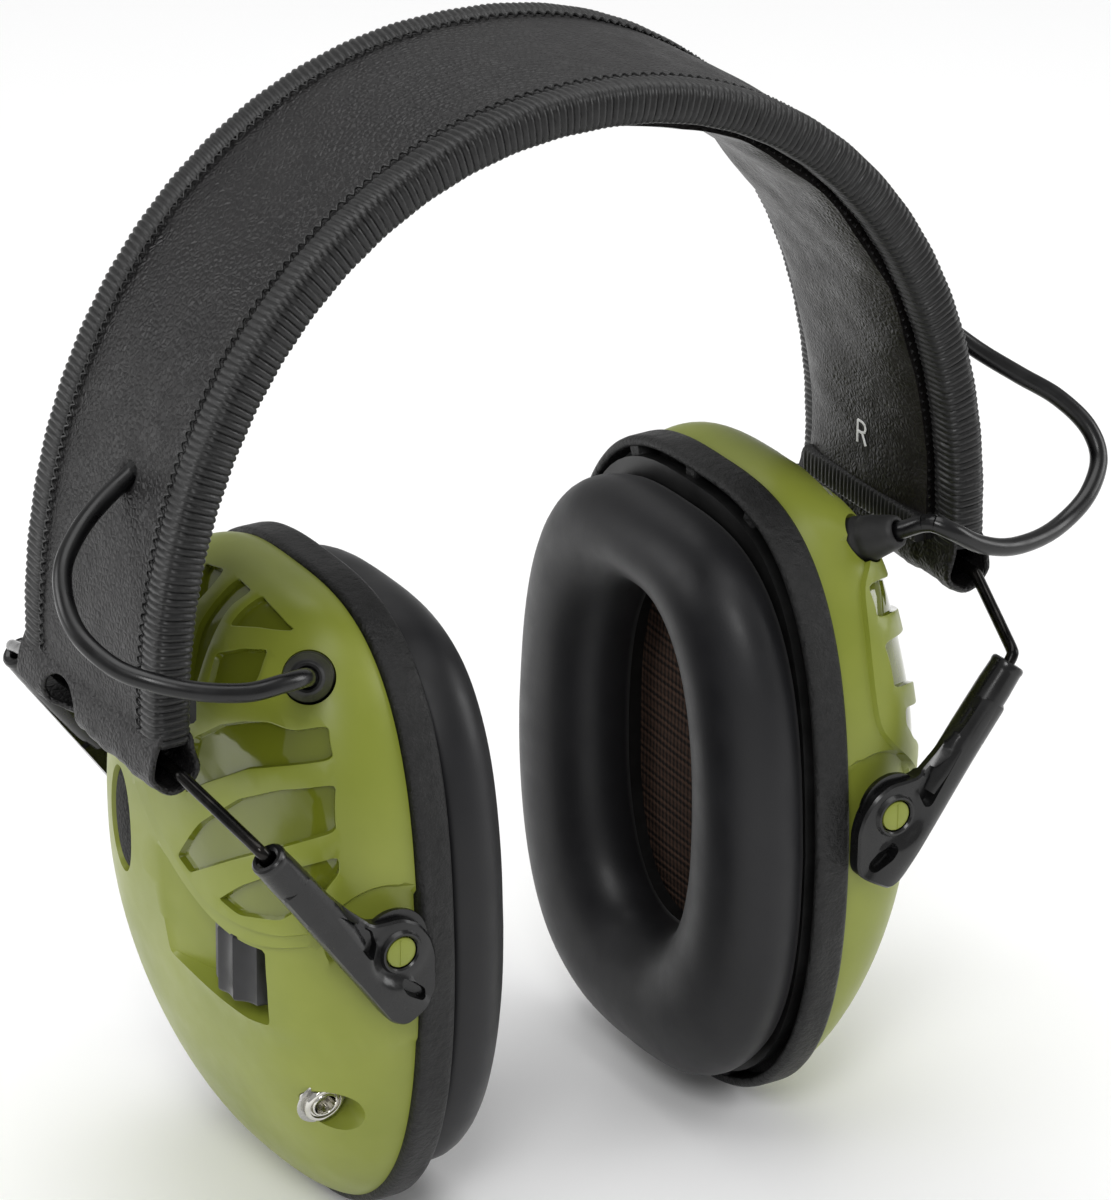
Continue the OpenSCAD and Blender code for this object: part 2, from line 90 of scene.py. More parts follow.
# middle lines of the two cables, from the band to the tip of the boot
LEFT_LOOP = [(-70.6, -4, -44.6), (-76, -5, -47.5), (-81, -7, -50.5), (-85.5, -10.5, -54),
             (-87.5, -15, -58), (-87.5, -20, -61.5), (-85, -26, -64.5), (-81, -30.5, -66),
             (-75, -34, -67.5), (-68, -36, -68.5), (-62, -36, -68.5), (-57.5, -34.2, -69.4),
             (-54.35, -29.54, -72.06)]
RIGHT_LOOP = [(70.6, -4, -44.6), (76.5, -6, -48.5), (83, -9.5, -54), (88.5, -13.5, -58),
              (93.5, -17.5, -61.5), (97, -21.5, -66), (97, -25, -70.5), (92.5, -28.5, -74.5),
              (86, -31, -77), (79, -33.5, -77.5), (71.5, -35.5, -76.5), (65, -36.5, -74),
              (60, -36.4, -70.8), (57, -33.9, -69.6), (54.35, -29.54, -72.06)]


# ---- camera, fitted to the photograph ----
AZIMUTH, ELEVATION, ROLL = math.radians(-31.6), math.radians(25.0), math.radians(0.7)
AIM, DISTANCE, LENS = (1.8, -10.0, -80.0), 0.945, 178


def add_camera():
    back = Vector((math.sin(AZIMUTH) * math.cos(ELEVATION), -math.cos(AZIMUTH) * math.cos(ELEVATION),
                   math.sin(ELEVATION)))
    right = Vector((math.cos(AZIMUTH), math.sin(AZIMUTH), 0))
    turned = math.cos(ROLL) * right + math.sin(ROLL) * back.cross(right)
    camera = bpy.data.objects.new("camera", bpy.data.cameras.new("camera"))
    bpy.context.collection.objects.link(camera)
    camera.data.sensor_fit = "VERTICAL"
    camera.data.sensor_height = 36
    camera.data.lens = LENS
    camera.data.clip_start = 0.05
    camera.data.clip_end = 20
    axes = (turned, back.cross(turned), back)
    camera.matrix_world = Matrix([[axes[c][r] for c in range(3)] + [AIM[r] * MM + back[r] * DISTANCE]
                                  for r in range(3)] + [[0, 0, 0, 1]])
    bpy.context.scene.camera = camera


# ---- node material helpers ----
LOOKS = {}


def linear(color):
    """Linear RGBA of a hex colour, or of a triple that is linear already."""
    if isinstance(color, str):
        channel = [int(color[i:i + 2], 16) / 255 for i in (0, 2, 4)]
        color = [c / 12.92 if c <= 0.04045 else ((c + 0.055) / 1.055) ** 2.4 for c in channel]
    return (*color, 1)


class Look:
    """A Principled material, kept in LOOKS, with procedural layers added one after another."""

    def __init__(self, name, color, roughness=0.5, **sockets):
        self.material = LOOKS[name] = bpy.data.materials.new(name)
        self.material.use_nodes = True
        self.tree = self.material.node_tree
        self.shader = self.tree.nodes["Principled BSDF"]
        self.shader.inputs["Base Color"].default_value = linear(color)
        self.shader.inputs["Roughness"].default_value = roughness
        for key, value in sockets.items():
            self.shader.inputs[key.replace("_", " ")].default_value = value
        self.place = self.tree.nodes.new("ShaderNodeTexCoord").outputs["Object"]
        self.height = None

    def node(self, kind, **settings):
        made = self.tree.nodes.new("ShaderNode" + kind)
        for key, value in settings.items():
            setattr(made, key, value)
        return made

    def link(self, a, b):
        self.tree.links.new(a, b)

    def stretched(self, scale):
        mapping = self.node("Mapping")
        mapping.inputs["Scale"].default_value = scale
        self.link(self.place, mapping.inputs["Vector"])
        return mapping.outputs["Vector"]

    def noise(self, scale, detail=3.0, rough=0.5, stretch=None, distortion=0.0):
        made = self.node("TexNoise")
        made.inputs["Scale"].default_value = scale
        made.inputs["Detail"].default_value = detail
        made.inputs["Roughness"].default_value = rough
        made.inputs["Distortion"].default_value = distortion
        self.link(self.stretched(stretch) if stretch else self.place, made.inputs["Vector"])
        return made.outputs["Fac"]

    def cells(self, scale, feature="F1", stretch=None, randomness=1.0):
        made = self.node("TexVoronoi", feature=feature)
        made.inputs["Scale"].default_value = scale
        made.inputs["Randomness"].default_value = randomness
        self.link(self.stretched(stretch) if stretch else self.place, made.inputs["Vector"])
        return made.outputs["Distance"]

    def ramp(self, value, low, high, a, b):
        made = self.node("MapRange")
        for key, number in zip(("From Min", "From Max", "To Min", "To Max"), (low, high, a, b)):
            made.inputs[key].default_value = number
        self.link(value, made.inputs["Value"])
        return made.outputs["Result"]

    def math(self, operation, a, b):
        made = self.node("Math", operation=operation)
        for value, socket in ((a, made.inputs[0]), (b, made.inputs[1])):
            if isinstance(value, (int, float)):
                socket.default_value = value
            else:
                self.link(value, socket)
        return made.outputs["Value"]

    def tint(self, value, a, b, low=0.35, high=0.7):
        """Base colour runs from a to b as value runs from low to high."""
        ramp = self.node("ValToRGB")
        for stop, position, color in zip(ramp.color_ramp.elements, (low, high), (a, b)):
            stop.position, stop.color = position, linear(color)
        self.link(value, ramp.inputs["Fac"])
        self.link(ramp.outputs["Color"], self.shader.inputs["Base Color"])

    def rough(self, value, a, b, low=0.3, high=0.7):
        """Roughness runs from a to b as value runs from low to high."""
        self.link(self.ramp(value, low, high, a, b), self.shader.inputs["Roughness"])

    def bump(self, value, strength, distance):
        made = self.node("Bump")
        made.inputs["Strength"].default_value = strength
        made.inputs["Distance"].default_value = distance * MM
        self.link(value, made.inputs["Height"])
        if self.height is not None:
            self.link(self.height, made.inputs["Normal"])
        self.height = made.outputs["Normal"]
        self.link(self.height, self.shader.inputs["Normal"])


def make_looks():
    k = Look("green_satin", "848d34", 0.34, Specular_IOR_Level=0.4, Coat_Weight=0.12,
             Coat_Roughness=0.3)
    k.tint(k.noise(45, 4), "7b842c", "878f36", 0.35, 0.68)
    k.rough(k.noise(120, 5, 0.6), 0.34, 0.46)
    k.bump(k.noise(2600, 2), 0.12, 0.02)

    k = Look("green_gloss", "79802d", 0.07, Specular_IOR_Level=0.5, Coat_Weight=0.25,
             Coat_Roughness=0.03)
    k.tint(k.noise(30, 3), "5d6418", "6b7320")
    k.rough(k.noise(210, 5, 0.6), 0.05, 0.12, 0.4, 0.75)
    k.bump(k.noise(60, 2), 0.05, 0.3)

    k = Look("ring_black", "1e1e1f", 0.5, Specular_IOR_Level=0.36)
    k.tint(k.noise(700, 3), "0d0d0d", "191919")
    k.rough(k.noise(150, 4), 0.38, 0.55)
    k.bump(k.noise(800, 4, 0.7), 1.0, 0.5)

    k = Look("plate_black", "131313", 0.42)
    k.tint(k.noise(400, 3), "080808", "101010")
    k.rough(k.noise(90, 4), 0.34, 0.5)
    k.bump(k.noise(1800, 3), 0.2, 0.05)

    k = Look("arm_black", "161617", 0.26, Specular_IOR_Level=0.4, Coat_Weight=0.12,
             Coat_Roughness=0.15)
    k.tint(k.noise(260, 3), "080808", "0f0f10")
    k.rough(k.noise(170, 5, 0.6), 0.2, 0.36, 0.35, 0.7)
    k.bump(k.noise(420, 3), 0.06, 0.1)

    k = Look("band_leather", "232223", 0.42, Specular_IOR_Level=0.36)
    k.tint(k.noise(60, 5, 0.6), "121112", "1c1b1b")
    k.rough(k.noise(220, 5, 0.65), 0.36, 0.52)
    k.bump(k.noise(85, 4, 0.6, distortion=0.6), 0.5, 0.45)
    k.bump(k.cells(1000, "DISTANCE_TO_EDGE"), 0.9, 0.45)
    k.bump(k.noise(2200, 3, 0.6), 0.5, 0.12)

    k = Look("lining_leather", "242322", 0.42, Specular_IOR_Level=0.4)
    k.tint(k.noise(80, 5, 0.6), "110f0f", "1d1b1a")
    k.rough(k.noise(160, 5, 0.6), 0.32, 0.5)
    k.bump(k.noise(60, 5, 0.6, distortion=1.4), 0.6, 0.8)
    k.bump(k.cells(1050, "DISTANCE_TO_EDGE"), 0.7, 0.3)

    k = Look("thread_black", "171717", 0.4, Specular_IOR_Level=0.4, Sheen_Weight=0.1,
             Sheen_Roughness=0.4)
    k.tint(k.noise(1500, 3), "080808", "1b1b1b", 0.3, 0.75)
    k.rough(k.noise(900, 3), 0.34, 0.5)
    k.bump(k.noise(3200, 2), 0.5, 0.06)

    k = Look("cushion_skin", "1d1d1f", 0.46, Specular_IOR_Level=0.36, Sheen_Weight=0.05,
             Sheen_Roughness=0.45)
    k.tint(k.noise(35, 4), "101012", "17171a")
    k.rough(k.noise(140, 5, 0.6), 0.4, 0.52)
    k.bump(k.noise(50, 3), 0.12, 0.5)
    k.bump(k.cells(1500, "DISTANCE_TO_EDGE"), 0.2, 0.05)

    woven()

    k = Look("foam_black", "171716", 0.9)
    k.tint(k.cells(1500), "2a2927", "0a0a0a", 0.2, 0.7)
    k.bump(k.cells(1400), 0.9, 0.3)
    k.bump(k.noise(900, 4), 0.5, 0.2)

    k = Look("cable_black", "121213", 0.3, Specular_IOR_Level=0.42)
    k.tint(k.noise(150, 3), "040405", "09090a")
    k.rough(k.noise(300, 4), 0.25, 0.38, 0.35, 0.7)
    k.bump(k.noise(900, 3), 0.06, 0.05)

    k = Look("rubber_black", "151515", 0.55)
    k.tint(k.noise(500, 4), "0a0a0a", "161616")
    k.rough(k.noise(260, 4), 0.45, 0.65)
    k.bump(k.noise(1300, 4, 0.6), 0.4, 0.1)

    k = Look("wheel_black", "141417", 0.36, Specular_IOR_Level=0.5)
    k.tint(k.noise(350, 3), "09090b", "131317")
    k.rough(k.noise(240, 5), 0.28, 0.45, 0.35, 0.7)
    k.bump(k.noise(900, 3), 0.1, 0.05)

    k = Look("wire_black", "141414", 0.2, Metallic=0.85)
    k.tint(k.noise(300, 4), "101010", "2c2a28", 0.4, 0.75)
    k.rough(k.noise(500, 4, 0.6), 0.15, 0.32, 0.35, 0.7)
    k.bump(k.noise(1200, 3), 0.05, 0.05)

    k = Look("chrome", "d4d2cc", 0.1, Metallic=1.0)
    k.tint(k.noise(200, 4), "dad8d2", "b9b6ae", 0.35, 0.75)
    k.rough(k.noise(1500, 4, stretch=(1, 1, 4)), 0.06, 0.18, 0.35, 0.75)
    k.bump(k.noise(2500, 2), 0.05, 0.02)

    k = Look("steel", "b6b5b2", 0.3, Metallic=1.0)
    k.tint(k.noise(160, 4), "bcbbb7", "9a9995", 0.35, 0.75)
    k.rough(k.noise(900, 4, stretch=(1, 6, 1)), 0.22, 0.42, 0.35, 0.75)
    k.bump(k.noise(1600, 3, stretch=(1, 8, 1)), 0.1, 0.03)

    k = Look("foil_cell", "a9aaad", 0.32, Metallic=0.7)
    k.tint(k.noise(60, 3, stretch=(1, 1, 0.2)), "b4b5b8", "8f9094", 0.4, 0.65)
    k.rough(k.noise(300, 4), 0.25, 0.4)
    k.bump(k.noise(700, 3), 0.06, 0.05)

    k = Look("board_green", "2c6637", 0.35)
    k.tint(k.cells(260, "F1", randomness=0.35), "3c7f47", "245730", 0.28, 0.42)
    k.rough(k.noise(300, 3), 0.28, 0.42)
    k.bump(k.cells(260, "F1", randomness=0.35), 0.15, 0.05)

    k = Look("white_print", "dcdcda", 0.5)
    k.tint(k.noise(800, 4), "cfcfcd", "e6e6e4", 0.25, 0.7)
    k.bump(k.noise(1500, 3), 0.15, 0.04)


THREAD_PITCH = 0.0023


def woven():
    """Brownish black mesh cloth: two crossed sets of threads with small open holes."""
    k = Look("mesh_cloth", "3a302b", 0.85, Specular_IOR_Level=0.2)
    split = k.node("SeparateXYZ")
    k.link(k.place, split.inputs["Vector"])
    y, z = split.outputs["Y"], split.outputs["Z"]
    across = k.math("ADD", y, z)
    along = k.math("SUBTRACT", z, y)
    turns = 2 * math.pi / THREAD_PITCH
    a = k.math("SINE", k.math("MULTIPLY", across, turns), 0.0)
    b = k.math("SINE", k.math("MULTIPLY", along, turns), 0.0)
    rows = k.math("SINE", k.math("MULTIPLY", z, turns * 1.4), 0.0)
    weave = k.math("ADD", k.math("MULTIPLY", a, b), k.math("MULTIPLY", rows, 0.5))
    fuzz = k.math("MULTIPLY", k.noise(1400, 3), 0.6)
    value = k.ramp(k.math("ADD", weave, fuzz), -1.2, 1.8, 0.0, 1.0)
    k.tint(value, "0d0806", "46342a", 0.25, 0.8)
    k.bump(value, 0.9, 0.35)


# ---- mesh helpers ----
def circle(count):
    """Evenly spaced points of the unit circle."""
    turn = np.arange(count) * 2 * math.pi / count
    return np.stack([np.cos(turn), np.sin(turn)], 1)


def lattice(across, up):
    """Points of a square grid; across and up are (first, end, step)."""
    return np.stack(np.meshgrid(np.arange(*across), np.arange(*up)), -1).reshape(-1, 2)


def signed_power(value, power):
    """Power of a value's size, with its sign kept."""
    return np.sign(value) * np.abs(value) ** power


def piece(name, verts, faces, looks, body, side=1, index=None, smooth=38, slot=None):
    """A mesh piece from points in millimetres, riding on a body. side -1 mirrors it to the left."""
    verts = np.array(verts, float) * MM
    if side < 0:
        verts = verts * np.array([-1, 1, 1])
        faces = [tuple(reversed(f)) for f in faces]
    mesh = bpy.data.meshes.new(name)
    mesh.from_pydata(verts.tolist(), [], [tuple(int(i) for i in f) for f in faces])
    for look in ([looks] if isinstance(looks, str) else looks):
        mesh.materials.append(LOOKS[look])
    if index is not None:
        mesh.polygons.foreach_set("material_index", np.array(index, np.int32))
    if smooth:
        mesh.polygons.foreach_set("use_smooth", np.ones(len(mesh.polygons), bool))
        mesh.set_sharp_from_angle(angle=math.radians(smooth))
    mesh.update()
    made = bpy.data.objects.new(name, mesh)
    bpy.context.collection.objects.link(made)
    if body:
        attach(made, body)
    return made


def grid_faces(rows, columns, start=0, close_rows=False, close_columns=True):
    """Quads between rings; each of the rings has this many columns."""
    faces = []
    for r in range(rows if close_rows else rows - 1):
        for c in range(columns if close_columns else columns - 1):
            a, b = r % rows, (r + 1) % rows
            d = (c + 1) % columns
            faces.append((start + a * columns + c, start + a * columns + d,
                          start + b * columns + d, start + b * columns + c))
    return faces


def ring_solid(rings):
    """Closed tube through rings with flat ends. Returns points and faces."""
    count = len(rings[0])
    points = [tuple(p) for ring in rings for p in ring]
    faces = grid_faces(len(rings), count)
    faces.append(tuple(range(count - 1, -1, -1)))
    faces.append(tuple((len(rings) - 1) * count + i for i in range(count)))
    return points, faces


def frame_at(ahead, hint=(0.05, 0.1, 1.0)):
    """Two unit vectors square to a direction and to each other."""
    ahead = ahead / np.linalg.norm(ahead)
    across = np.cross(ahead, hint)
    across = across / np.linalg.norm(across)
    return across, np.cross(across, ahead)


def tube_rings(path, radius, sides=16, hint=(0.05, 0.1, 1.0)):
    """Rings of a round tube along a path."""
    path = np.array(path, float)
    round_, rings = circle(sides), []
    for i, at in enumerate(path):
        ahead = path[min(i + 1, len(path) - 1)] - path[max(i - 1, 0)]
        across, up = frame_at(ahead, hint)
        rings.append(at + radius * (round_[:, :1] * across + round_[:, 1:] * up))
    return rings


def spun(profile, origin, axis, sides=40):
    """Closed solid of revolution with flat ends: profile is [(radius, distance along axis)]."""
    across, up = frame_at(np.array(axis, float), (0.3, 0.2, 1.0))
    axis = np.array(axis, float) / np.linalg.norm(axis)
    round_ = circle(sides)
    return ring_solid([np.array(origin) + h * axis + r * (round_[:, :1] * across + round_[:, 1:] * up)
                       for r, h in profile])


def plate(verts, faces, top, low, loops):
    """Solid between two skins over the same flat points, with walls along the loops."""
    count = len(verts)
    out = [tuple(f) for f in faces] + [(count + f[0], count + f[2], count + f[1]) for f in faces]
    for loop in loops:
        ids = nearest(verts, loop)
        out += [(a, b, b + count, a + count) for a, b in zip(ids, ids[1:] + ids[:1])]
    return list(top) + list(low), out


def nearest(verts, loop):
    """Number of the vertex nearest to each point of a loop."""
    return [int(np.argmin(np.linalg.norm(verts - p, axis=1))) for p in loop]


def join(*parts):
    """Several (points, faces) lists in one."""
    points, faces = [], []
    for p, f in parts:
        base = len(points)
        points += [tuple(x) for x in p]
        faces += [tuple(i + base for i in face) for face in f]
    return points, faces


def facing_out(made):
    """Turns every face of a closed mesh outwards."""
    work = bmesh.new()
    work.from_mesh(made.data)
    bmesh.ops.recalc_face_normals(work, faces=work.faces)
    work.to_mesh(made.data)
    work.free()
    made.data.update()
    return made


def smooth_path(points, count):
    """Points evenly spaced along a Catmull-Rom curve through the given points."""
    p = np.array(points, float)
    p = np.vstack([2 * p[0] - p[1], p, 2 * p[-1] - p[-2]])
    fine = []
    for i in range(1, len(p) - 2):
        for t in np.linspace(0, 1, 20, endpoint=False):
            a, b, c, d = p[i - 1:i + 3]
            fine.append(0.5 * (2 * b + (c - a) * t + (2 * a - 5 * b + 4 * c - d) * t * t
                               + (3 * b - a - 3 * c + d) * t ** 3))
    fine.append(p[-2])
    return evenly(np.array(fine), count)


def evenly(line, count, closed=False):
    """A line's points spread evenly along its length."""
    line = np.array(line, float)
    if closed:
        line = np.vstack([line, line[:1]])
    far = np.concatenate([[0], np.cumsum(np.linalg.norm(np.diff(line, axis=0), axis=1))])
    want = np.linspace(0, far[-1], count + 1)[:-1] if closed else np.linspace(0, far[-1], count)
    return np.stack([np.interp(want, far, line[:, k]) for k in range(line.shape[1])], 1)


def lumps(points, scale, seed=0.0):
    """Smooth noise from -1 to 1 at each point, from a few crossed waves."""
    p = np.array(points, float) / scale + seed
    x, y, z = p[:, 0], p[:, 1], p[:, 2]
    return (np.sin(x * 1.3 + 1.7 * np.sin(y * 0.9 + z)) + np.sin(y * 1.7 + 1.3 * np.sin(z * 1.1 + x))
            + np.sin(z * 1.5 + 1.9 * np.sin(x * 0.8 + y))) / 3


# ---- outline of a cup, and the dome ----
def outline(turn, half_w, up, down):
    """Egg-shaped outline; turn in radians. Returns y and z from the rim's middle."""
    c, s = np.cos(turn), np.sin(turn)
    n = np.where(s > 0, UPPER_POWER, LOWER_POWER)
    across = signed_power(c, 2 / n)
    rise = signed_power(s, 2 / n)
    return (half_w * across * (1 - TOP_TAPER * np.maximum(rise, 0)),
            np.where(rise > 0, up, down) * rise)


def even_outline(half_w, half_h, count):
    """Evenly spaced points of an outline that is as high above its middle as below."""
    turn = np.linspace(0, 2 * math.pi, 2880, endpoint=False)
    return evenly(np.stack(outline(turn, half_w, half_h, half_h), 1), count, closed=True)


def ear_hole(grow, count):
    """The ear opening's outline in y and z from the rim's middle, grown all round."""
    turn = np.linspace(0, 2 * math.pi, 1440, endpoint=False)
    y = (16 + grow) * signed_power(np.cos(turn), 0.8)
    z = 3 + (31 + grow) * signed_power(np.sin(turn), 0.8)
    return evenly(np.stack([y, z], 1), count, closed=True)


def gauge(y, z, half_w, up, down):
    """How far out (y, z) lies: 1 on the outline of these half sizes."""
    y, z = np.abs(np.asarray(y, float)), np.asarray(z, float)
    low, high = np.zeros_like(y), np.full_like(y, 6.0)
    for _ in range(46):
        k = (low + high) / 2 + 1e-12
        r = np.where(z > 0, z / (k * up), -z / (k * down))
        c = y / (k * half_w * np.where(z > 0, 1 - TOP_TAPER * np.minimum(r, 1.5), 1.0))
        n = np.where(z > 0, UPPER_POWER, LOWER_POWER)
        out = c ** n + r ** n > 1
        low, high = np.where(out, k, low), np.where(out, high, k)
    return (low + high) / 2


def half_sizes(v, grow=0.0):
    """Half width, upper and lower half height of the dome at share v of its rise."""
    v = np.clip(v, 0, 1)
    return ((SHELL_HALF_W + grow) * (1 - v ** 2.8) ** (1 / 2.8),
            (SHELL_HALF_H + grow) * np.sqrt(1 - v * v),
            (SHELL_HALF_H + grow) * (1 - v ** 1.85) ** (1 / 1.85))


def chart_to_dome(a, b, grow=0.0):
    """Dome points for points of the flat chart, whose edge is the rim and whose middle is the apex."""
    a, b = np.asarray(a, float), np.asarray(b, float)
    k = np.maximum(gauge(a, b, SHELL_HALF_W, SHELL_HALF_H, SHELL_HALF_H), 1e-6)
    theta = np.clip((1 - k) * math.pi / 2, -0.2, math.pi / 2)
    v = np.sin(theta)
    half, up, down = half_sizes(v, grow)
    rise = b / k / SHELL_HALF_H
    across = a / k / SHELL_HALF_W
    y = half * across
    z = np.where(rise > 0, up, down) * rise
    return np.stack([DOME_X + (DOME_RISE + grow) * v, y, RIM_Z + APEX_LIFT * v + z], 1)


def dome_to_chart(y, z):
    """Chart point of the dome's point at this y and z."""
    y, z = np.asarray(y, float), np.asarray(z, float)
    low, high = np.zeros_like(y), np.ones_like(y)
    for _ in range(40):
        v = (low + high) / 2
        half, up, down = half_sizes(v)
        out = gauge(y, z - RIM_Z - APEX_LIFT * v, half + 1e-9, up + 1e-9, down + 1e-9) > 1
        low, high = np.where(out, low, v), np.where(out, v, high)
    v = (low + high) / 2
    half, up, down = half_sizes(v)
    k = 1 - np.arcsin(np.clip(v, 0, 1)) / (math.pi / 2)
    rise = (z - RIM_Z - APEX_LIFT * v)
    rise = rise / np.where(rise > 0, up, down)
    return np.stack([k * SHELL_HALF_W * y / half, k * SHELL_HALF_H * rise], 1)


def dome_normal(a, b):
    """Outward unit normals of the dome at chart points."""
    step = 0.25
    along_a = chart_to_dome(a + step, b) - chart_to_dome(a - step, b)
    along_b = chart_to_dome(a, b + step) - chart_to_dome(a, b - step)
    n = np.cross(along_a, along_b)
    length = np.linalg.norm(n, axis=1, keepdims=True)
    n = np.where(length > 1e-9, n / np.maximum(length, 1e-9), [1.0, 0, 0])
    return n * np.where(n[:, :1] < -0.2, -1, 1)


def inside(points, polygon):
    """Which points lie in a polygon, both in chart or plane coordinates."""
    x, y = points[:, 0], points[:, 1]
    found = np.zeros(len(points), bool)
    for (x0, y0), (x1, y1) in zip(polygon, np.roll(polygon, -1, axis=0)):
        if y0 == y1:
            continue
        crosses = (y0 > y) != (y1 > y)
        found ^= crosses & (x < (x1 - x0) * (y - y0) / (y1 - y0) + x0)
    return found


def distance_to(points, line, closed=True):
    """Each point's distance from a line of points."""
    best = np.full(len(points), 1e9)
    ends = list(zip(line, np.roll(line, -1, axis=0)))
    for p, q in ends if closed else ends[:-1]:
        d = q - p
        t = np.clip(((points - p) @ d) / max(d @ d, 1e-12), 0, 1)
        best = np.minimum(best, np.linalg.norm(points - p - t[:, None] * d, axis=1))
    return best


def drawn_in(loop, by):
    """Closed loop moved towards its inside by a distance, point by point."""
    ahead = np.roll(loop, -1, 0) - np.roll(loop, 1, 0)
    ahead = ahead / np.maximum(np.linalg.norm(ahead, axis=1, keepdims=True), 1e-9)
    left = np.stack([-ahead[:, 1], ahead[:, 0]], 1)
    area = 0.5 * np.sum(loop[:, 0] * np.roll(loop[:, 1], -1) - np.roll(loop[:, 0], -1) * loop[:, 1])
    moved = loop + by * left * (1 if area > 0 else -1)
    return moved[distance_to(moved, loop) > 0.88 * by] if by > 0 else moved


def rounded(corners, radius, step=0.8):
    """Closed loop with rounded corners, evenly stepped."""
    corners = np.array(corners, float)
    line = []
    for i, at in enumerate(corners):
        before, after = corners[i - 1], corners[(i + 1) % len(corners)]
        back, on = before - at, after - at
        cut = min(radius, 0.45 * np.linalg.norm(back), 0.45 * np.linalg.norm(on))
        p = at + back / np.linalg.norm(back) * cut
        q = at + on / np.linalg.norm(on) * cut
        for t in np.linspace(0, 1, 5):
            line.append((1 - t) ** 2 * p + 2 * t * (1 - t) * at + t * t * q)
    line = np.array(line)
    length = np.sum(np.linalg.norm(np.roll(line, -1, 0) - line, axis=1))
    return evenly(line, max(12, int(length / step)), closed=True)


def smoothstep(value, low, high):
    """0 at low, 1 at high, with a soft start and end."""
    t = np.clip((value - low) / (high - low), 0, 1)
    return t * t * (3 - 2 * t)


def fill_chart(loops, grid, keep):
    """Triangles over flat points. loops are (line, closed) and stay as edges; grid holds the free points.

    keep(centres) says which triangles stay. Returns points, each one's loop number or -1, and triangles."""
    points, edges, tags = [], [], []
    for tag, (loop, closed) in enumerate(loops):
        start = len(points)
        points += [tuple(p) for p in loop]
        tags += [tag] * len(loop)
        count = len(loop)
        edges += [(start + i, start + (i + 1) % count) for i in range(count if closed else count - 1)]
    points += [tuple(p) for p in grid]
    tags += [-1] * len(grid)
    out = geometry.delaunay_2d_cdt([Vector(p) for p in points], edges, [], 0, 1e-5)
    verts = np.array([tuple(v) for v in out[0]])
    tag = np.array([tags[ids[0]] if ids else -1 for ids in out[3]])
    faces = np.array([f for f in out[2] if len(f) == 3])
    centres = verts[faces].mean(1)
    p, q, r = verts[faces[:, 0]], verts[faces[:, 1]], verts[faces[:, 2]]
    area = np.cross(q - p, r - p)
    faces = np.where((area < 0)[:, None], faces[:, ::-1], faces)
    good = (np.abs(area) > 1e-7) & keep(centres)
    return verts, tag, faces[good]


# ---- features of a shell, drawn for the right cup in (y, z) on the dome ----
REAR_WINDOWS = [
    [(-5, -73.3), (-5.4, -71), (-6.8, -68.2), (-12.5, -69), (-17.8, -70.2), (-14.8, -70.8), (-11.5, -71.4),
     (-8, -72.4)],
    [(0.6, -68.2), (1.4, -71.5), (2.2, -75.3), (1.6, -78.4), (0, -83.5), (-0.4, -88.5), (-2, -95),
     (-4.8, -101), (-4.6, -95), (-3.6, -90), (-3, -86.6), (-3.4, -82.5), (-3.2, -79), (-3, -74.6),
     (-3, -71.2), (-4.8, -68.4)],
    [(-5, -77.2), (-10.8, -74.4), (-15.8, -73), (-16.4, -75), (-17, -77.4), (-15.2, -80.2), (-12, -82),
     (-6.2, -84.5)],
    [(-6, -90.2), (-11.8, -85.8), (-17, -83.4), (-21.5, -82), (-25.8, -82.2), (-29.4, -80.8), (-31.9, -86),
     (-25.6, -88.3), (-20.4, -90.4), (-12.3, -95.7), (-7.4, -99.5), (-6.6, -95)],
    [(-6, -110), (-12, -101.8), (-19.4, -95.1), (-26.5, -91.3), (-33, -89.2), (-34.6, -97), (-29.1, -100.3),
     (-21, -105), (-10.4, -111.6)],
    [(-17.6, -112.6), (-22.6, -108.2), (-30.2, -103), (-35.2, -100.4), (-35.6, -103.6), (-34.4, -107.3),
     (-30, -112), (-22.6, -113.7)],
]
FRONT_WINDOWS = [
    [(6.4, -72.2), (9.8, -69.2), (4.2, -68.3), (3.8, -70.4), (5, -73.6)],
    [(6.8, -76.2), (11.4, -72.2), (14, -69.9), (18.5, -70.9), (17, -74.4), (13, -77.6), (7.6, -81.5)],
    [(8.4, -86.6), (13, -82.4), (18, -79.6), (23.8, -77.2), (27.2, -81.4), (21.5, -84.6), (14.6, -89.6),
     (9.6, -93.6)],
    [(17, -94.6), (22.5, -89.8), (30, -86), (33.2, -93.4), (27.5, -96.8), (21.4, -101.2), (17, -100)],
    [(25.2, -104.2), (30, -100.4), (34.2, -98), (35.4, -103.6), (33.4, -108), (27.4, -109.2)],
]
SPREAD_WINDOWS = (2, 3, 4)
INNER_LEDGE = [(7, -101), (3, -104.2), (0.6, -106.6), (-3, -109), (-7, -111.3), (-11, -113.1), (-15, -114.4),
               (-19, -115), (-22.6, -115.1), (-26.5, -114.9), (-30.2, -114.3), (-33.5, -113)]
OUTER_LEDGE = [(9.5, -104.6), (6, -107.4), (3, -109.6), (0, -111.6), (-4.5, -113.8), (-9, -115.6),
               (-14.6, -117.4), (-18.5, -118), (-22.5, -118.1), (-26, -117.8), (-29.5, -117), (-33.5, -115.6)]
POCKET = [(3.8, -112.2), (-4.5, -115), (-9, -116.8), (-14.6, -118.6), (-18.5, -119.2), (-22.5, -119.3),
          (-26.2, -119), (-26, -126), (-25.2, -133.2), (-20, -134), (-12, -133.6), (3, -132.4), (3.4, -122)]
WHEEL_SLOT = [(-9.4, -118.9), (-14.6, -119.4), (-20, -119.9), (-25.6, -119.8), (-25.4, -126), (-24.8, -131.4),
              (-17, -131.4), (-9.4, -131.2)]
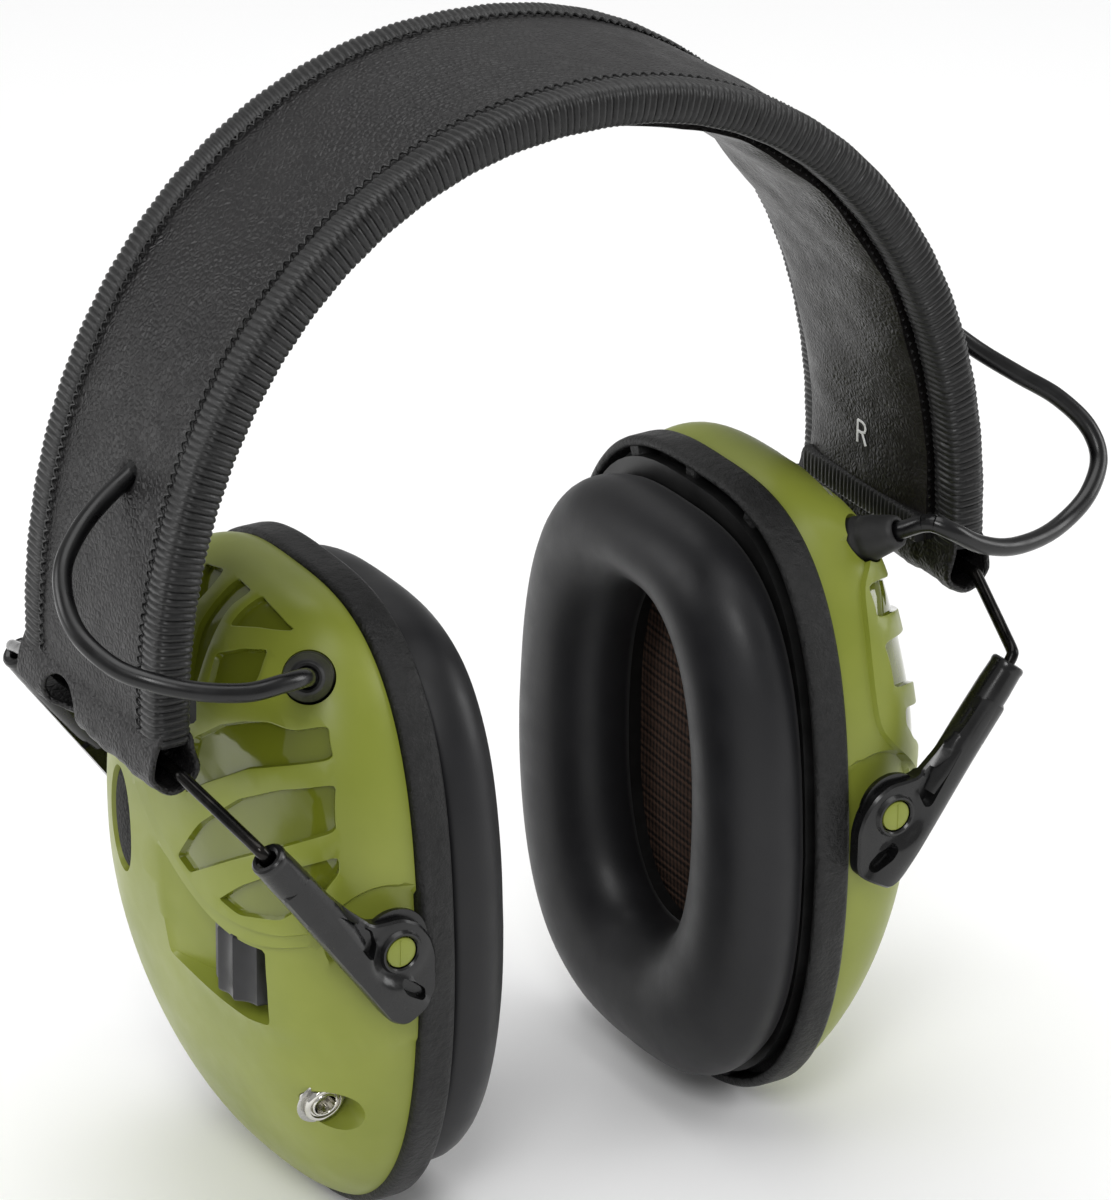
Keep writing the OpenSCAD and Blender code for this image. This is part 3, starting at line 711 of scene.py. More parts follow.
WINDOW_BORDER = [(49.7, -77.4), (46.8, -80.5), (45.8, -87), (45.6, -95), (46.4, -101.5), (48.9, -105.4),
                 (52.6, -109.4), (55.8, -113.4)]
DOOR = [(-13.4, -113), (13.4, -113), (13.4, -156), (-13.4, -156)]


def chart_loop(corners, radius=1.0, step=0.7):
    """Closed loop of dome points, as a chart loop with rounded corners."""
    flat = rounded(corners, radius, step)
    return dome_to_chart(flat[:, 0], flat[:, 1])


def chart_line(points, step=0.8):
    """Open line of dome points in the chart."""
    line = smooth_path(points, max(8, int(60 / step)))
    return dome_to_chart(line[:, 0], line[:, 1])


def hole_loop(origin, axis, radius, count=44, squeeze=1.0):
    """Where a round bore meets the dome, as a chart loop. Drawn for the right cup."""
    across, up = frame_at(np.array(axis, float), (0.3, 0.2, 1.0))
    axis = np.array(axis, float) / np.linalg.norm(axis)
    round_ = circle(count)
    base = np.array(origin) + radius * (squeeze * round_[:, :1] * across + round_[:, 1:] * up)
    low, high = np.full(count, -16.0), np.full(count, 16.0)
    for _ in range(40):
        far = (low + high) / 2
        at = base + far[:, None] * axis
        v = np.clip((at[:, 0] - DOME_X) / DOME_RISE, 0, 0.999)
        half, top, down = half_sizes(v)
        out = gauge(at[:, 1], at[:, 2] - RIM_Z - APEX_LIFT * v, half, top, down) > 1
        out |= at[:, 0] > DOME_X + DOME_RISE
        low, high = np.where(out, low, far), np.where(out, far, high)
    at = base + ((low + high) / 2)[:, None] * axis
    return dome_to_chart(at[:, 1], at[:, 2])


def side_wall(x, z, y_sign):
    """Chart points of the dome's rear (-1) or front (1) wall at these x and z."""
    v = (x - DOME_X) / DOME_RISE
    half, up, down = half_sizes(v)
    rise = z - RIM_Z - APEX_LIFT * v
    r = np.abs(rise) / np.where(rise > 0, up, down)
    n = np.where(rise > 0, UPPER_POWER, LOWER_POWER)
    taper = np.where(rise > 0, 1 - TOP_TAPER * r, 1.0)
    return dome_to_chart(y_sign * half * taper * (1 - r ** n) ** (1 / n), z)


def pivot_arc(radius, y_sign):
    """Arc round a pivot on the dome's wall, from the rim over the top and down its outboard side."""
    angle = np.linspace(math.radians(-38), math.radians(112), 40)
    return side_wall(PIN_AT[0] + radius * np.sin(angle), PIN_AT[1] + radius * np.cos(angle), y_sign)


def relief(p, ledges):
    """Height of the shell over the plain dome at chart points p, outside its windows and pockets."""
    height = np.zeros(len(p))
    at = chart_to_dome(p[:, 0], p[:, 1])
    from_pin = np.hypot(at[:, 0] - PIN_AT[0], at[:, 2] - PIN_AT[1])
    sunk = smoothstep(from_pin, 8.75, 8.25) * smoothstep(at[:, 2], -127, -117)
    height -= PIVOT_SINK * sunk * (np.abs(at[:, 1]) > 20)
    if ledges is not None:
        for line, region in ledges:
            fade = smoothstep(distance_to(p, line, closed=False), 14, 4)
            height += LEDGE_RISE * fade * inside(p, region)
    return height


def spread(points):
    """Chart points moved out towards the rim, more so the nearer they are to it."""
    k = gauge(points[:, 0], points[:, 1], SHELL_HALF_W, SHELL_HALF_H, SHELL_HALF_H)
    return points * (1 + 0.13 * smoothstep(k, 0.45, 0.72))[:, None]


def make_shell(name, side, body, slot):
    """The domed shell: windows, ledges, pockets and holes cut along exact lines, with an inner skin."""
    left = side < 0
    rim_turn = even_outline(SHELL_HALF_W, SHELL_HALF_H, 300)
    loops, kinds = [(rim_turn, True)], ["rim"]
    mic = MIC_AT + circle(40) * [MIC_HALF_W + MIC_GAP, MIC_HALF_H + MIC_GAP]
    holes = {"relief": hole_loop(RELIEF_TIP, RELIEF_AXIS, 4.25), "mic": dome_to_chart(mic[:, 0], mic[:, 1])}
    if left:
        jack = hole_loop(JACK_AT - [0.35, 0, 0], JACK_AXIS, 4.3, squeeze=0.9)
        pocket = chart_loop(POCKET, 1.0)
        holes["slot"] = chart_loop(WHEEL_SLOT, 0.8)
    else:
        holes["door"] = chart_loop([(y * 1.026, z + (0.35 if z > -130 else -0.35)) for y, z in DOOR], 1.2)
    window_loops = []
    for number, corners in enumerate(REAR_WINDOWS + FRONT_WINDOWS):
        outer = chart_loop(corners, 1.0, 0.45)
        if not left and number in SPREAD_WINDOWS:
            outer = spread(outer)
        window_loops.append((outer, drawn_in(outer, 0.16), drawn_in(outer, 0.34)))
    for outer, middle, inner in window_loops:
        loops += [(outer, True), (middle, True), (inner, True)]
        kinds += ["window_top", "window_edge", "window_floor"]
    for key, loop in holes.items():
        loops.append((loop, True))
        kinds.append("hole_" + key)
    for y_sign in (-1, 1):
        loops += [(pivot_arc(8.2, y_sign), False), (pivot_arc(8.8, y_sign), False)]
        kinds += ["pivot", "pivot"]
    ledges = None
    if left:
        upper, lower = chart_line(INNER_LEDGE), chart_line(OUTER_LEDGE)
        above = dome_to_chart(np.array([-34.5, -20.0, 4.0, 16.0]), np.array([-100.0, -75.0, -70.0, -90.0]))
        ledges = ((upper, np.vstack([upper, above])), (lower, np.vstack([lower, above])))
        for line in (upper, lower):
            ahead = np.gradient(line, axis=0)
            ahead /= np.linalg.norm(ahead, axis=1, keepdims=True)
            down = np.stack([ahead[:, 1], -ahead[:, 0]], 1)
            down = -down if np.median(down[:, 1]) > 0 else down
            loops += [(line - 0.02 * down, False), (line + 0.3 * down, False)]
            kinds += ["ledge", "ledge_foot"]
        loops += [(pocket, True), (drawn_in(pocket, 0.3), True), (jack, True), (drawn_in(jack, 0.12), True)]
        kinds += ["pocket_top", "pocket_floor", "jack_top", "jack_floor"]
    else:
        border = smooth_path(WINDOW_BORDER, 60)
        line = side_wall(border[:, 0], border[:, 1], -1)
        ahead = np.gradient(line, axis=0)
        out = np.stack([ahead[:, 1], -ahead[:, 0]], 1) / np.linalg.norm(ahead, axis=1, keepdims=True)
        out = out if np.median(np.sum(out * line, axis=1)) > 0 else -out
        loops += [(line - 0.02 * out, False), (line + 0.35 * out, False)]
        kinds += ["ledge", "ledge_foot"]
        above = dome_to_chart(np.array([-14.0, -6.0, -8.0, -20.0]), np.array([-116.0, -100.0, -80.0, -69.5]))
        ledges = ((line, np.vstack([line, above])),)
    # free points: rings of the chart, closer together towards the rim
    grid = []
    for k in np.concatenate([np.linspace(0.985, 0.9, 6), np.arange(0.87, 0.04, -0.0275)]):
        count = max(6, int(300 * k / 1.9))
        turn = evenly(rim_turn, count, closed=True) * k
        grid.append(turn)
    grid = np.vstack(grid + [np.zeros((1, 2))])
    grid += 0.004 * np.stack([np.sin(grid[:, 1] * 7), np.cos(grid[:, 0] * 5)], 1)
    near = np.full(len(grid), 1e9)
    for (loop, closed), kind in zip(loops, kinds):
        if kind != "rim":
            near = np.minimum(near, distance_to(grid, np.array(loop), closed))
    grid = grid[near > 0.55]

    def keep(c):
        good = gauge(c[:, 0], c[:, 1], SHELL_HALF_W, SHELL_HALF_H, SHELL_HALF_H) < 1.0002
        for loop in holes.values():
            good &= ~inside(c, loop)
        return good

    verts, tag, faces = fill_chart(loops, grid, keep)
    centres = verts[faces].mean(1)
    kind = np.array([kinds[t] if t >= 0 else "free" for t in tag])
    height = relief(verts, ledges)
    depth = np.zeros(len(verts))
    glossy = np.zeros(len(centres), bool)
    for outer, middle, inner in window_loops:
        within = inside(verts, drawn_in(outer, 0.02)) & ~np.isin(kind, ["window_top"])
        edge = within & (kind == "window_edge")
        depth = np.where(within & ~edge, WINDOW_DEPTH, np.where(edge, 0.12, depth))
        glossy |= inside(centres, drawn_in(outer, 0.2))
    if left:
        within = inside(verts, drawn_in(pocket, 0.05)) & (kind != "pocket_top")
        at = chart_to_dome(verts[:, 0], verts[:, 1])
        ramp = np.clip((4.6 - at[:, 1]) / 15.0, 0, 1) ** 1.2 * POCKET_DEPTH + 0.03
        depth = np.where(within, ramp, depth)
        height = np.where(within, 0, height)
    place = chart_to_dome(verts[:, 0], verts[:, 1])
    normal = dome_normal(verts[:, 0], verts[:, 1])
    place = place + normal * (height - depth)[:, None]
    if left:
        crease = smoothstep(-place[:, 2], 133.9, 134.9) * smoothstep(place[:, 1], 10, -16)
        place = place - normal * (0.55 * crease)[:, None]
        sunk = inside(verts, drawn_in(jack, 0.04)) & (kind != "jack_top")
        far = (place - (JACK_AT - [0.8, 0, 0])) @ JACK_AXIS
        place = np.where(sunk[:, None], place - JACK_AXIS * (far + JACK_SINK)[:, None], place)
    points = [tuple(p) for p in place]
    out = [tuple(f) for f in faces]
    index = [1 if g else 0 for g in glossy]
    # inner skin with the same holes
    loops_in = [(rim_turn, True)] + [(loop, True) for loop in holes.values()]
    grid_in = np.vstack([evenly(rim_turn, max(6, int(150 * k)), closed=True) * k
                         for k in np.arange(0.95, 0.05, -0.05)] + [np.zeros((1, 2))])
    near = np.full(len(grid_in), 1e9)
    for loop in holes.values():
        near = np.minimum(near, distance_to(grid_in, loop))
    grid_in = grid_in[near > 1.2] + 0.004
    verts_in, _, faces_in = fill_chart(loops_in, grid_in, keep)
    skin = chart_to_dome(verts_in[:, 0], verts_in[:, 1], -SKIN)
    if left:
        deep = inside(verts_in, drawn_in(pocket, -2.4)) | inside(verts_in, drawn_in(jack, -2.4))
        skin = skin - dome_normal(verts_in[:, 0], verts_in[:, 1]) * (POCKET_DEPTH * deep)[:, None]
    base = len(points)
    points += [tuple(p) for p in skin]
    out += [(base + f[0], base + f[2], base + f[1]) for f in faces_in]
    index += [0] * len(faces_in)
    for loop in [rim_turn] + list(holes.values()):
        outer, inner = nearest(verts, loop), [base + i for i in nearest(verts_in, loop)]
        out += zip(outer, outer[1:] + outer[:1], inner[1:] + inner[:1], inner)
        index += [0] * len(loop)
    made = piece(name, points, out, ["green_satin", "green_gloss"], body, side, index, smooth=32, slot=slot)
    facing_out(made)
    return made


def make_door():
    """Battery door of the right cup: a patch of the same dome with its own edge."""
    edge = rounded([(y * 0.985, z + (-0.2 if z > -130 else 0.2)) for y, z in DOOR], 1.2, 0.9)
    loop = dome_to_chart(edge[:, 0], edge[:, 1])
    bevel = drawn_in(loop, 0.25)
    grid = lattice((-20, 20, 1.6), (-60, 60, 1.6))
    grid += 0.01 * np.sin(grid[:, ::-1] * 3)
    grid = grid[inside(grid, loop)]
    grid = grid[np.minimum(distance_to(grid, loop), distance_to(grid, bevel)) > 0.8]
    verts, tag, faces = fill_chart([(loop, True), (bevel, True)], grid, lambda c: inside(c, loop))
    height = np.where(tag == 0, -0.25, 0.0)
    place = chart_to_dome(verts[:, 0], verts[:, 1]) + dome_normal(verts[:, 0], verts[:, 1]) * height[:, None]
    under = chart_to_dome(verts[:, 0], verts[:, 1], -2.1)
    door = facing_out(piece("battery_door_cover", *plate(verts, faces, place, under, [loop]), "green_satin",
                            "battery_door", slot="green_plastic"))
    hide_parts("battery_door")
    for k in range(3):
        z = -117.5 - 2.2 * k
        y = np.linspace(-5, 5, 12)
        chart = dome_to_chart(y, np.full(12, z))
        line = chart_to_dome(chart[:, 0], chart[:, 1])
        rib = piece(f"door_grip_{k}", *ring_solid(tube_rings(line, 0.45, 8)), "green_satin",
                    "battery_door", slot="green_plastic")
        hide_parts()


# ---- ring, cushion and liner of a cup ----
def swept(section, count, at):
    """Points of a closed section carried round the cup: section is [(x, inset)], at(i, inset) gives y, z."""
    rings = [at(inset) for _, inset in section]
    points = [(x, p[0], p[1] + RIM_Z) for (x, _), ring in zip(section, rings) for p in ring]
    return points, grid_faces(len(section), count, close_rows=True)


# section of the ring as (x, inset), of a rib inside it as (across, x), and the ribs' places as (y, upper half)
RING_SECTION = [(39.95, 2.9), (39.95, 1.25), (39.86, 0.75), (39.6, 0.3), (39.1, 0.05), (38.4, 0),
                (36.6, 0.02), (35.2, 0.04), (34.5, 0.16), (34.05, 0.45), (33.8, 0.85), (33.75, 1.2),
                (33.82, 1.55), (34.1, 1.8), (34.6, 1.9), (37.3, 2.0), (37.5, 2.3), (37.5, 5.4), (38.2, 5.6),
                (38.8, 4.0)]
RIB_SECTION = [(-1.5, 37.6), (-1.5, 34.6), (-1.2, 34.15), (1.2, 34.15), (1.5, 34.6), (1.5, 37.6)]
RIB_SPOTS = [(1.5, True), (-17.0, True), (19.0, True), (4.0, False), (-14.0, False), (18.0, False)]


def make_ring(side, tag):
    """Snap-on ring round the rim with ribs inside it, and the thin edge of the cushion plate."""
    count = 260
    base = even_outline(RING_HALF_W, RING_HALF_H, count)
    ahead = np.roll(base, -1, 0) - np.roll(base, 1, 0)
    normal = np.stack([ahead[:, 1], -ahead[:, 0]], 1) / np.linalg.norm(ahead, axis=1, keepdims=True)
    for _ in range(3):
        normal = normal + np.roll(normal, 1, 0) + np.roll(normal, -1, 0)
        normal /= np.linalg.norm(normal, axis=1, keepdims=True)
    parts = [swept(RING_SECTION, count, lambda inset: base - normal * inset)]
    for y_at, up in RIB_SPOTS:
        near = [i for i in range(count) if (base[i, 1] > 0) == up]
        i = min(near, key=lambda i: abs(base[i, 0] - y_at))
        out, along = normal[i], np.array([-normal[i][1], normal[i][0]])
        block = []
        for reach in (1.3, 6.6):
            block.append([(x, *(base[i] - out * reach + along * wide + [0, RIM_Z]))
                          for wide, x in RIB_SECTION])
        parts.append(ring_solid(block))
    points, faces = join(*parts)
    ring = facing_out(piece(f"{tag}_bumper", points, faces, "ring_black", f"{tag}_cup", side, smooth=45,
                            slot="ring_plastic"))
    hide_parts(f"{tag}_bumper_ring")
    lip = swept([35.4, 3.6] + 0.28 * circle(8), count, lambda inset: base - normal * inset)
    facing_out(piece(f"{tag}_plate_edge", *lip, "plate_black", f"{tag}_cup", side, slot="plate_plastic"))


# section of the cushion: depth towards the ear, and way from its outside to the ear hole, each 0 to 1
CUSHION_WIDTH = 24.0
CUSHION_SECTION = [(0.0, 0.80), (0.0, 0.30), (0.0, 0.06), (0.06, 0.015), (0.2, -0.02), (0.36, -0.035),
                   (0.52, -0.02), (0.68, 0.035), (0.8, 0.11), (0.9, 0.21), (0.965, 0.32), (1.0, 0.44),
                   (0.995, 0.56), (0.95, 0.68), (0.86, 0.79), (0.74, 0.88), (0.58, 0.95), (0.42, 0.985),
                   (0.25, 1.0), (0.1, 0.995), (0.0, 0.97)]


def make_cushion(side, tag):
    """Crowned soft ring, shaped in code with slow and fine waves of its skin."""
    count = 150
    turn = np.linspace(0, 2 * math.pi, 1440, endpoint=False)
    y, z = outline(turn, RING_HALF_W - 2.7, RING_HALF_H - 6.2, RING_HALF_H - 5.0)
    outer = np.stack([y, z], 1)
    hole = np.stack([16 * signed_power(np.cos(turn), 0.86), 3 + 31 * signed_power(np.sin(turn), 0.86)], 1)
    # spread both rings by the outer outline's own length
    around = np.vstack([outer, outer[:1]])
    far = np.concatenate([[0], np.cumsum(np.linalg.norm(np.diff(around, axis=0), axis=1))])
    pick = np.searchsorted(far, np.linspace(0, far[-1], count, endpoint=False))
    pick = np.clip(pick, 0, 1439)
    section = np.array(CUSHION_SECTION + CUSHION_SECTION[:1]) * [CUSHION_DEPTH, CUSHION_WIDTH]
    line = evenly(smooth_path(section, 160), 46)[:-1]
    points = []
    for depth, wide in line:
        f = wide / CUSHION_WIDTH
        ring = outer[pick] * (1 - f) + hole[pick] * f
        points += [(CUSHION_BACK - depth, p[0], p[1] + RIM_Z) for p in ring]
    points = np.array(points)
    soft = np.clip((CUSHION_BACK - points[:, 0]) / CUSHION_DEPTH, 0, 1)
    fine = lumps(points, 15.0, 1.7 if side > 0 else 4.1) * 0.35 + lumps(points, 6.5, 2.2) * 0.08
    points[:, 0] = points[:, 0] + fine * soft * 0.8
    points[:, 1] += fine * soft * 0.6
    points[:, 0] = np.minimum(points[:, 0], CUSHION_BACK)
    cushion = facing_out(piece(f"{tag}_cushion", points, grid_faces(len(line), count, close_rows=True),
                               "cushion_skin", f"{tag}_cup", side, smooth=0, slot="cushion_skin"))
    cushion.data.polygons.foreach_set("use_smooth", np.ones(len(cushion.data.polygons), bool))
    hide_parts(f"{tag}_ear_cushion")


def make_liner(side, tag):
    """Woven mesh behind the ear hole, slightly domed towards the ear, one layer thick."""
    count, rows = 72, 16
    edge = ear_hole(3.6, count)
    middle = np.array([0.0, 3.0])
    points, faces = [], []
    for r in range(rows):
        k = 1 - r / rows
        for p in middle + (edge - middle) * k:
            sag = 0.9 * (1 - k * k)
            points.append((PLATE_X + 2.5 - sag, p[0], p[1] + RIM_Z))
    points = np.array(points)
    points[:, 0] += 0.12 * lumps(points, 5.0, 3.0)
    points = [tuple(p) for p in points] + [(PLATE_X + 1.6, 0.0, RIM_Z + 3.0)]
    faces = grid_faces(rows, count)
    last = (rows - 1) * count
    faces += [(last + i, last + (i + 1) % count, rows * count) for i in range(count)]
    cloth = piece(f"{tag}_mesh_cloth", points, faces, "mesh_cloth", f"{tag}_cup", side, slot="mesh")
    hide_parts(f"{tag}_mesh_liner")


# ---- arms, pins and wires ----
# the arm is drawn flat: s runs down from the top of its tube, w across it; heights are above the tube's axis
EYE_RINGS = (2.75, 3.0, 3.35, 3.7, 4.3)
EYE_FACE, EYE_LIP, EYE_EDGE, WEB_FLOOR, DROP_FLOOR = 1.55, 2.2, 1.9, 0.85, 0.6


def arm_point(s, w):
    """x and z of a flat point of the arm."""
    return np.array([ARM_TOP[0] - s * math.sin(ARM_LEAN) + w * math.cos(ARM_LEAN),
                     ARM_TOP[1] - s * math.cos(ARM_LEAN) - w * math.sin(ARM_LEAN)])


def make_arm(side, tag, where, y_sign):
    """One pivot arm: a tube running on as a broad rib, a sunk web, a raised eye and a teardrop hollow."""
    eye = np.array([32.1, -4.84])
    border = rounded([(8, 2.9), (20, 3.2), (32, 3.5), (40.6, 3.8), (42.9, 2.4), (43.7, -3.4), (42.8, -5.0),
                      (37.8, -8.8), (34.8, -9.9), (31.2, -10.0), (28.2, -8.6), (26.3, -6.0), (25.0, -4.5),
                      (20, -3.5), (14, -2.9), (8, -2.8)], 1.1, 0.5)
    eye_hole = eye + EYE_RINGS[0] * circle(48)
    loops = [(border, True), (drawn_in(border, 0.35), True)]
    loops += [(eye + radius * circle(48), True) for radius in EYE_RINGS]
    web = rounded([(17.2, -1.1), (18.2, -1.9), (25.4, -3.9), (27.4, -2.9), (28.6, -0.9), (27.6, -0.4)],
                  0.5, 0.45)
    drop = rounded([(35.9, -2.4), (36.4, -1.1), (38.4, -0.9), (41.7, -2.1), (42.1, -3.0), (41.0, -3.8),
                    (38.2, -3.2)], 0.7, 0.45)
    for loop in (web, drop):
        loops += [(loop, True), (drawn_in(loop, 0.3), True)]
    grid = lattice((8.4, 45, 0.62), (-10.2, 4, 0.55))
    grid += 0.02 * np.sin(grid[:, ::-1] * 5)
    near = np.min([distance_to(grid, loop) for loop, _ in loops], axis=0)
    grid = grid[inside(grid, border) & (near > 0.28)]
    verts, tag_of, faces = fill_chart(
        loops, grid, lambda c: inside(c, border) & (np.linalg.norm(c - eye, axis=1) > EYE_RINGS[0] - 0.01))
    s, w = verts[:, 0], verts[:, 1]
    far = np.linalg.norm(verts - eye, axis=1)
    middle = 0.15 + 0.25 * smoothstep(s, 20, 42)
    half = 3.0 + 0.75 * smoothstep(s, 12, 40)
    across = np.clip(np.abs(w - middle) / half, 0, 1)
    rib = 1.2 + 1.75 * np.sqrt(1 - across ** 2) - 0.55 * smoothstep(s, 34, 45)
    lobe = 1.25 + 0.3 * smoothstep(far, 5.5, 3.0)
    high = np.maximum(np.where(across < 1, rib, 0), np.where(s > 24, lobe, 0.9))
    round_eye = smoothstep(far, 6.2, 3.7)
    high = high * (1 - round_eye) + EYE_FACE * round_eye
    high = np.where(inside(verts, drawn_in(web, 0.2)), WEB_FLOOR, high)
    high = np.where(inside(verts, drawn_in(drop, 0.2)), DROP_FLOOR, high)
    high = np.where((far > 2.9) & (far < 3.45), EYE_LIP, high)
    high = np.where(far < 2.85, EYE_EDGE, high)
    high = np.where(tag_of == 0, np.minimum(high - 0.35, 2.0), high)
    flat = np.array([arm_point(a, b) for a, b in verts])
    top = np.stack([flat[:, 0], -(ARM_Y + high), flat[:, 1]], 1)
    low = np.where(s < 24, -ARM_Y + 0.6, -40.65)
    bottom = np.stack([flat[:, 0], low, flat[:, 1]], 1)
    body = plate(verts, faces, top, bottom, [border, eye_hole])
    (x0, z0), (x1, z1) = arm_point(0, 0), arm_point(1, 0)
    start, ahead = np.array([x0, -ARM_Y, z0]), np.array([x1 - x0, 0, z1 - z0])
    tube = spun([(1.06, 14.0), (1.06, 2.6), (1.5, 1.75), (2.0, 1.45), (2.5, 1.5), (2.82, 1.75), (2.92, 2.2),
                 (2.84, 2.7), (2.84, 3.1), (2.96, 6), (3.0, 14), (2.9, 22), (2.3, 26)], start, ahead, 36)
    boss = spun([(5.2, -1.3), (5.7, -1.1), (5.9, -0.6), (5.9, 0.0)],
                (PIN_AT[0] + 0.3, -41.9, PIN_AT[1] + 0.7), (0, -1, 0), 44)
    points, faces = join(body, tube, boss)
    points = np.array(points) * [1, y_sign, 1]
    if y_sign < 0:
        faces = [tuple(reversed(f)) for f in faces]
    arm = facing_out(piece(f"{tag}_{where}_arm", points, faces, "arm_black", f"{tag}_arms", side, smooth=30,
                           slot="arm_plastic"))
    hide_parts(f"{tag}_arm_{where}")


def make_pin(side, tag, where, y_sign):
    """Pivot pin with a domed head and one raised mark across it."""
    profile = [(2.0, 32.4), (2.0, 43.1), (2.35, 43.2), (2.5, 43.3), (2.55, 43.55), (2.45, 43.75),
               (2.1, 43.88), (1.0, 43.95), (0.05, 43.97)]
    mark = [(PIN_AT[0] + 0.25, y, PIN_AT[1] + z) for y, z in ((-43.9, -2.1), (-43.97, 0), (-43.9, 2.1))]
    points, faces = join(spun(profile, (PIN_AT[0], 0, PIN_AT[1]), (0, -1, 0), 44),
                         ring_solid(tube_rings(mark, 0.13, 8, (1, 0, 0))))
    points = np.array(points) * [1, y_sign, 1]
    pin = facing_out(piece(f"{tag}_{where}_pin", points, faces, "green_satin", f"{tag}_pins", side,
                           slot="green_plastic"))
    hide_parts(f"{tag}_pivot_pin_{where}")


def make_yoke(side, tag):
    """Bent steel wire through the band's end and down both arms."""
    half = WIDTH / 2 + 1.5
    foot = arm_point(34, 0)
    rear = [(foot[0], -ARM_Y, foot[1]), (ARM_TOP[0] - 0.7, -ARM_Y, ARM_TOP[1] - 0.95),
            (ARM_TOP[0] + 0.02, -ARM_Y + 0.35, ARM_TOP[1] + 0.02),
            (ARM_TOP[0] + 0.4, -ARM_Y + 1.6, ARM_TOP[1] + 0.6),
            (BAR_X - 0.4, -half - 1.6, BAR_Z - 0.6), (BAR_X, -half, BAR_Z), (BAR_X, -half + 1.6, BAR_Z)]
    line = []
    for p, q in zip(rear, rear[1:]):
        line += [np.array(p) + (np.array(q) - np.array(p)) * t for t in np.linspace(0, 1, 7)[:-1]]
    line = np.array(line + [np.array(rear[-1])])
    for _ in range(2):
        line[1:-1] = (line[:-2] + 2 * line[1:-1] + line[2:]) / 4
    line = np.vstack([line, (line * [1, -1, 1])[::-1]])
    wire = piece(f"{tag}_wire", *ring_solid(tube_rings(line, WIRE_R, 14, (0.9, 0.1, 0.3))), "wire_black",
                 f"{tag}_yoke", side, slot="black_wire")
    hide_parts(f"{tag}_wire_yoke")


# ---- small fittings of a cup ----
BOOT_PROFILE = [(3.6, -12.8), (3.9, -12.4), (3.95, -8.6), (4.05, -7.6), (3.95, -6.9), (3.75, -6.5),
                (3.7, -5.9), (3.8, -5.4), (3.65, -4.6), (3.2, -2.6), (2.85, -0.9), (2.65, -0.25), (2.3, 0.0),
                (1.9, -0.12), (1.62, -0.6), (1.6, -1.6)]
# crown of the microphone's foam: share of its outline, and depth under the dome
FOAM_CROWN = [(0.93, 2.6), (1.0, 1.6), (1.0, 0.55), (0.97, 0.25), (0.9, 0.02), (0.75, -0.15), (0.5, -0.3),
              (0.25, -0.38), (0.04, -0.4)]


def make_fittings(side, tag):
    """The cable's boot and the microphone's foam."""
    boot = spun(BOOT_PROFILE, RELIEF_TIP, RELIEF_AXIS, 40)
    made = facing_out(piece(f"{tag}_boot", *boot, "rubber_black", f"{tag}_cup", side, slot="rubber"))
    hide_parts(f"{tag}_strain_relief")
    points = []
    for k, depth in FOAM_CROWN:
        edge = MIC_AT + k * circle(40) * [MIC_HALF_W, MIC_HALF_H]
        chart = dome_to_chart(edge[:, 0], edge[:, 1])
        at = chart_to_dome(chart[:, 0], chart[:, 1])
        at[:, 0] -= depth + 0.6
        points.append(at)
    foam = facing_out(piece(f"{tag}_mic_cover", *ring_solid(points), "foam_black", f"{tag}_cup", side,
                            slot="foam"))
    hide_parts(f"{tag}_mic_foam")


SCALLOP, SCALLOPS = 0.75, 13


def make_wheel():
    """Volume wheel with broad scallops round its edge."""
    count, rows = 220, []
    upper = [(0.0, 5.2), (-0.12, 5.6), (-0.45, 5.9), (-1.0, 6.0), (-2.6, 6.0)]
    for r, z in [(r, -z) for r, z in upper[::-1]] + upper:
        turn = np.arange(count) * 2 * math.pi / count
        radius = WHEEL_R + r - SCALLOP * np.abs(np.cos(turn * SCALLOPS / 2 + 0.5)) ** 0.8
        rows.append(np.stack([WHEEL_AT[0] + radius * np.cos(turn), WHEEL_AT[1] + radius * np.sin(turn),
                              np.full(count, WHEEL_AT[2] + z)], 1))
    wheel = facing_out(piece("volume_dial", *ring_solid(rows), "wheel_black", "volume_wheel", -1, smooth=35,
                             slot="rubber"))
    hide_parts("volume_wheel")


def make_jack():
    """Chromed sleeve of the jack with its rolled lip, and the nut round it."""
    sleeve = [(1.8, -12.9), (2.9, -12.9), (2.9, -1.3), (3.4, -1.15), (3.4, -0.35), (3.2, -0.08),
              (2.95, 0.0), (2.72, -0.08), (2.62, -0.5), (2.4, -0.55), (2.3, -0.2), (2.1, -0.02),
              (1.92, -0.06), (1.8, -0.3)]
    points, faces = spun(sleeve + sleeve[:1], JACK_AT, JACK_AXIS, 44)
    jack = facing_out(piece("jack_sleeve", points, faces[:-2], "chrome", "left_cup", -1, slot="chrome"))
    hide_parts("jack_socket")
    nut = [(3.3, -1.5), (4.35, -1.5), (4.4, -1.3), (4.3, -1.15), (3.5, -1.15), (3.3, -1.2)]
    points, faces = spun(nut + nut[:1], JACK_AT, JACK_AXIS, 44)
    facing_out(piece("jack_nut_ring", points, faces[:-2], "steel", "left_cup", -1, slot="chrome"))


# ---- headband ----
def arch(t, inset):
    """Point of the arch t radians round from the right foot; beyond the feet it runs straight down."""
    t = np.asarray(t, float)
    inner = np.clip(t, 0, math.pi)
    below = np.where(t < 0, -t, np.where(t > math.pi, t - math.pi, 0)) * 10.0
    x = (HALF_SPAN - inset) * signed_power(np.cos(inner), 2 / ARCH_POWER)
    z = ARCH_BASE + (RISE - inset) * np.abs(np.sin(inner)) ** (2 / ARCH_POWER) - below
    return x, z


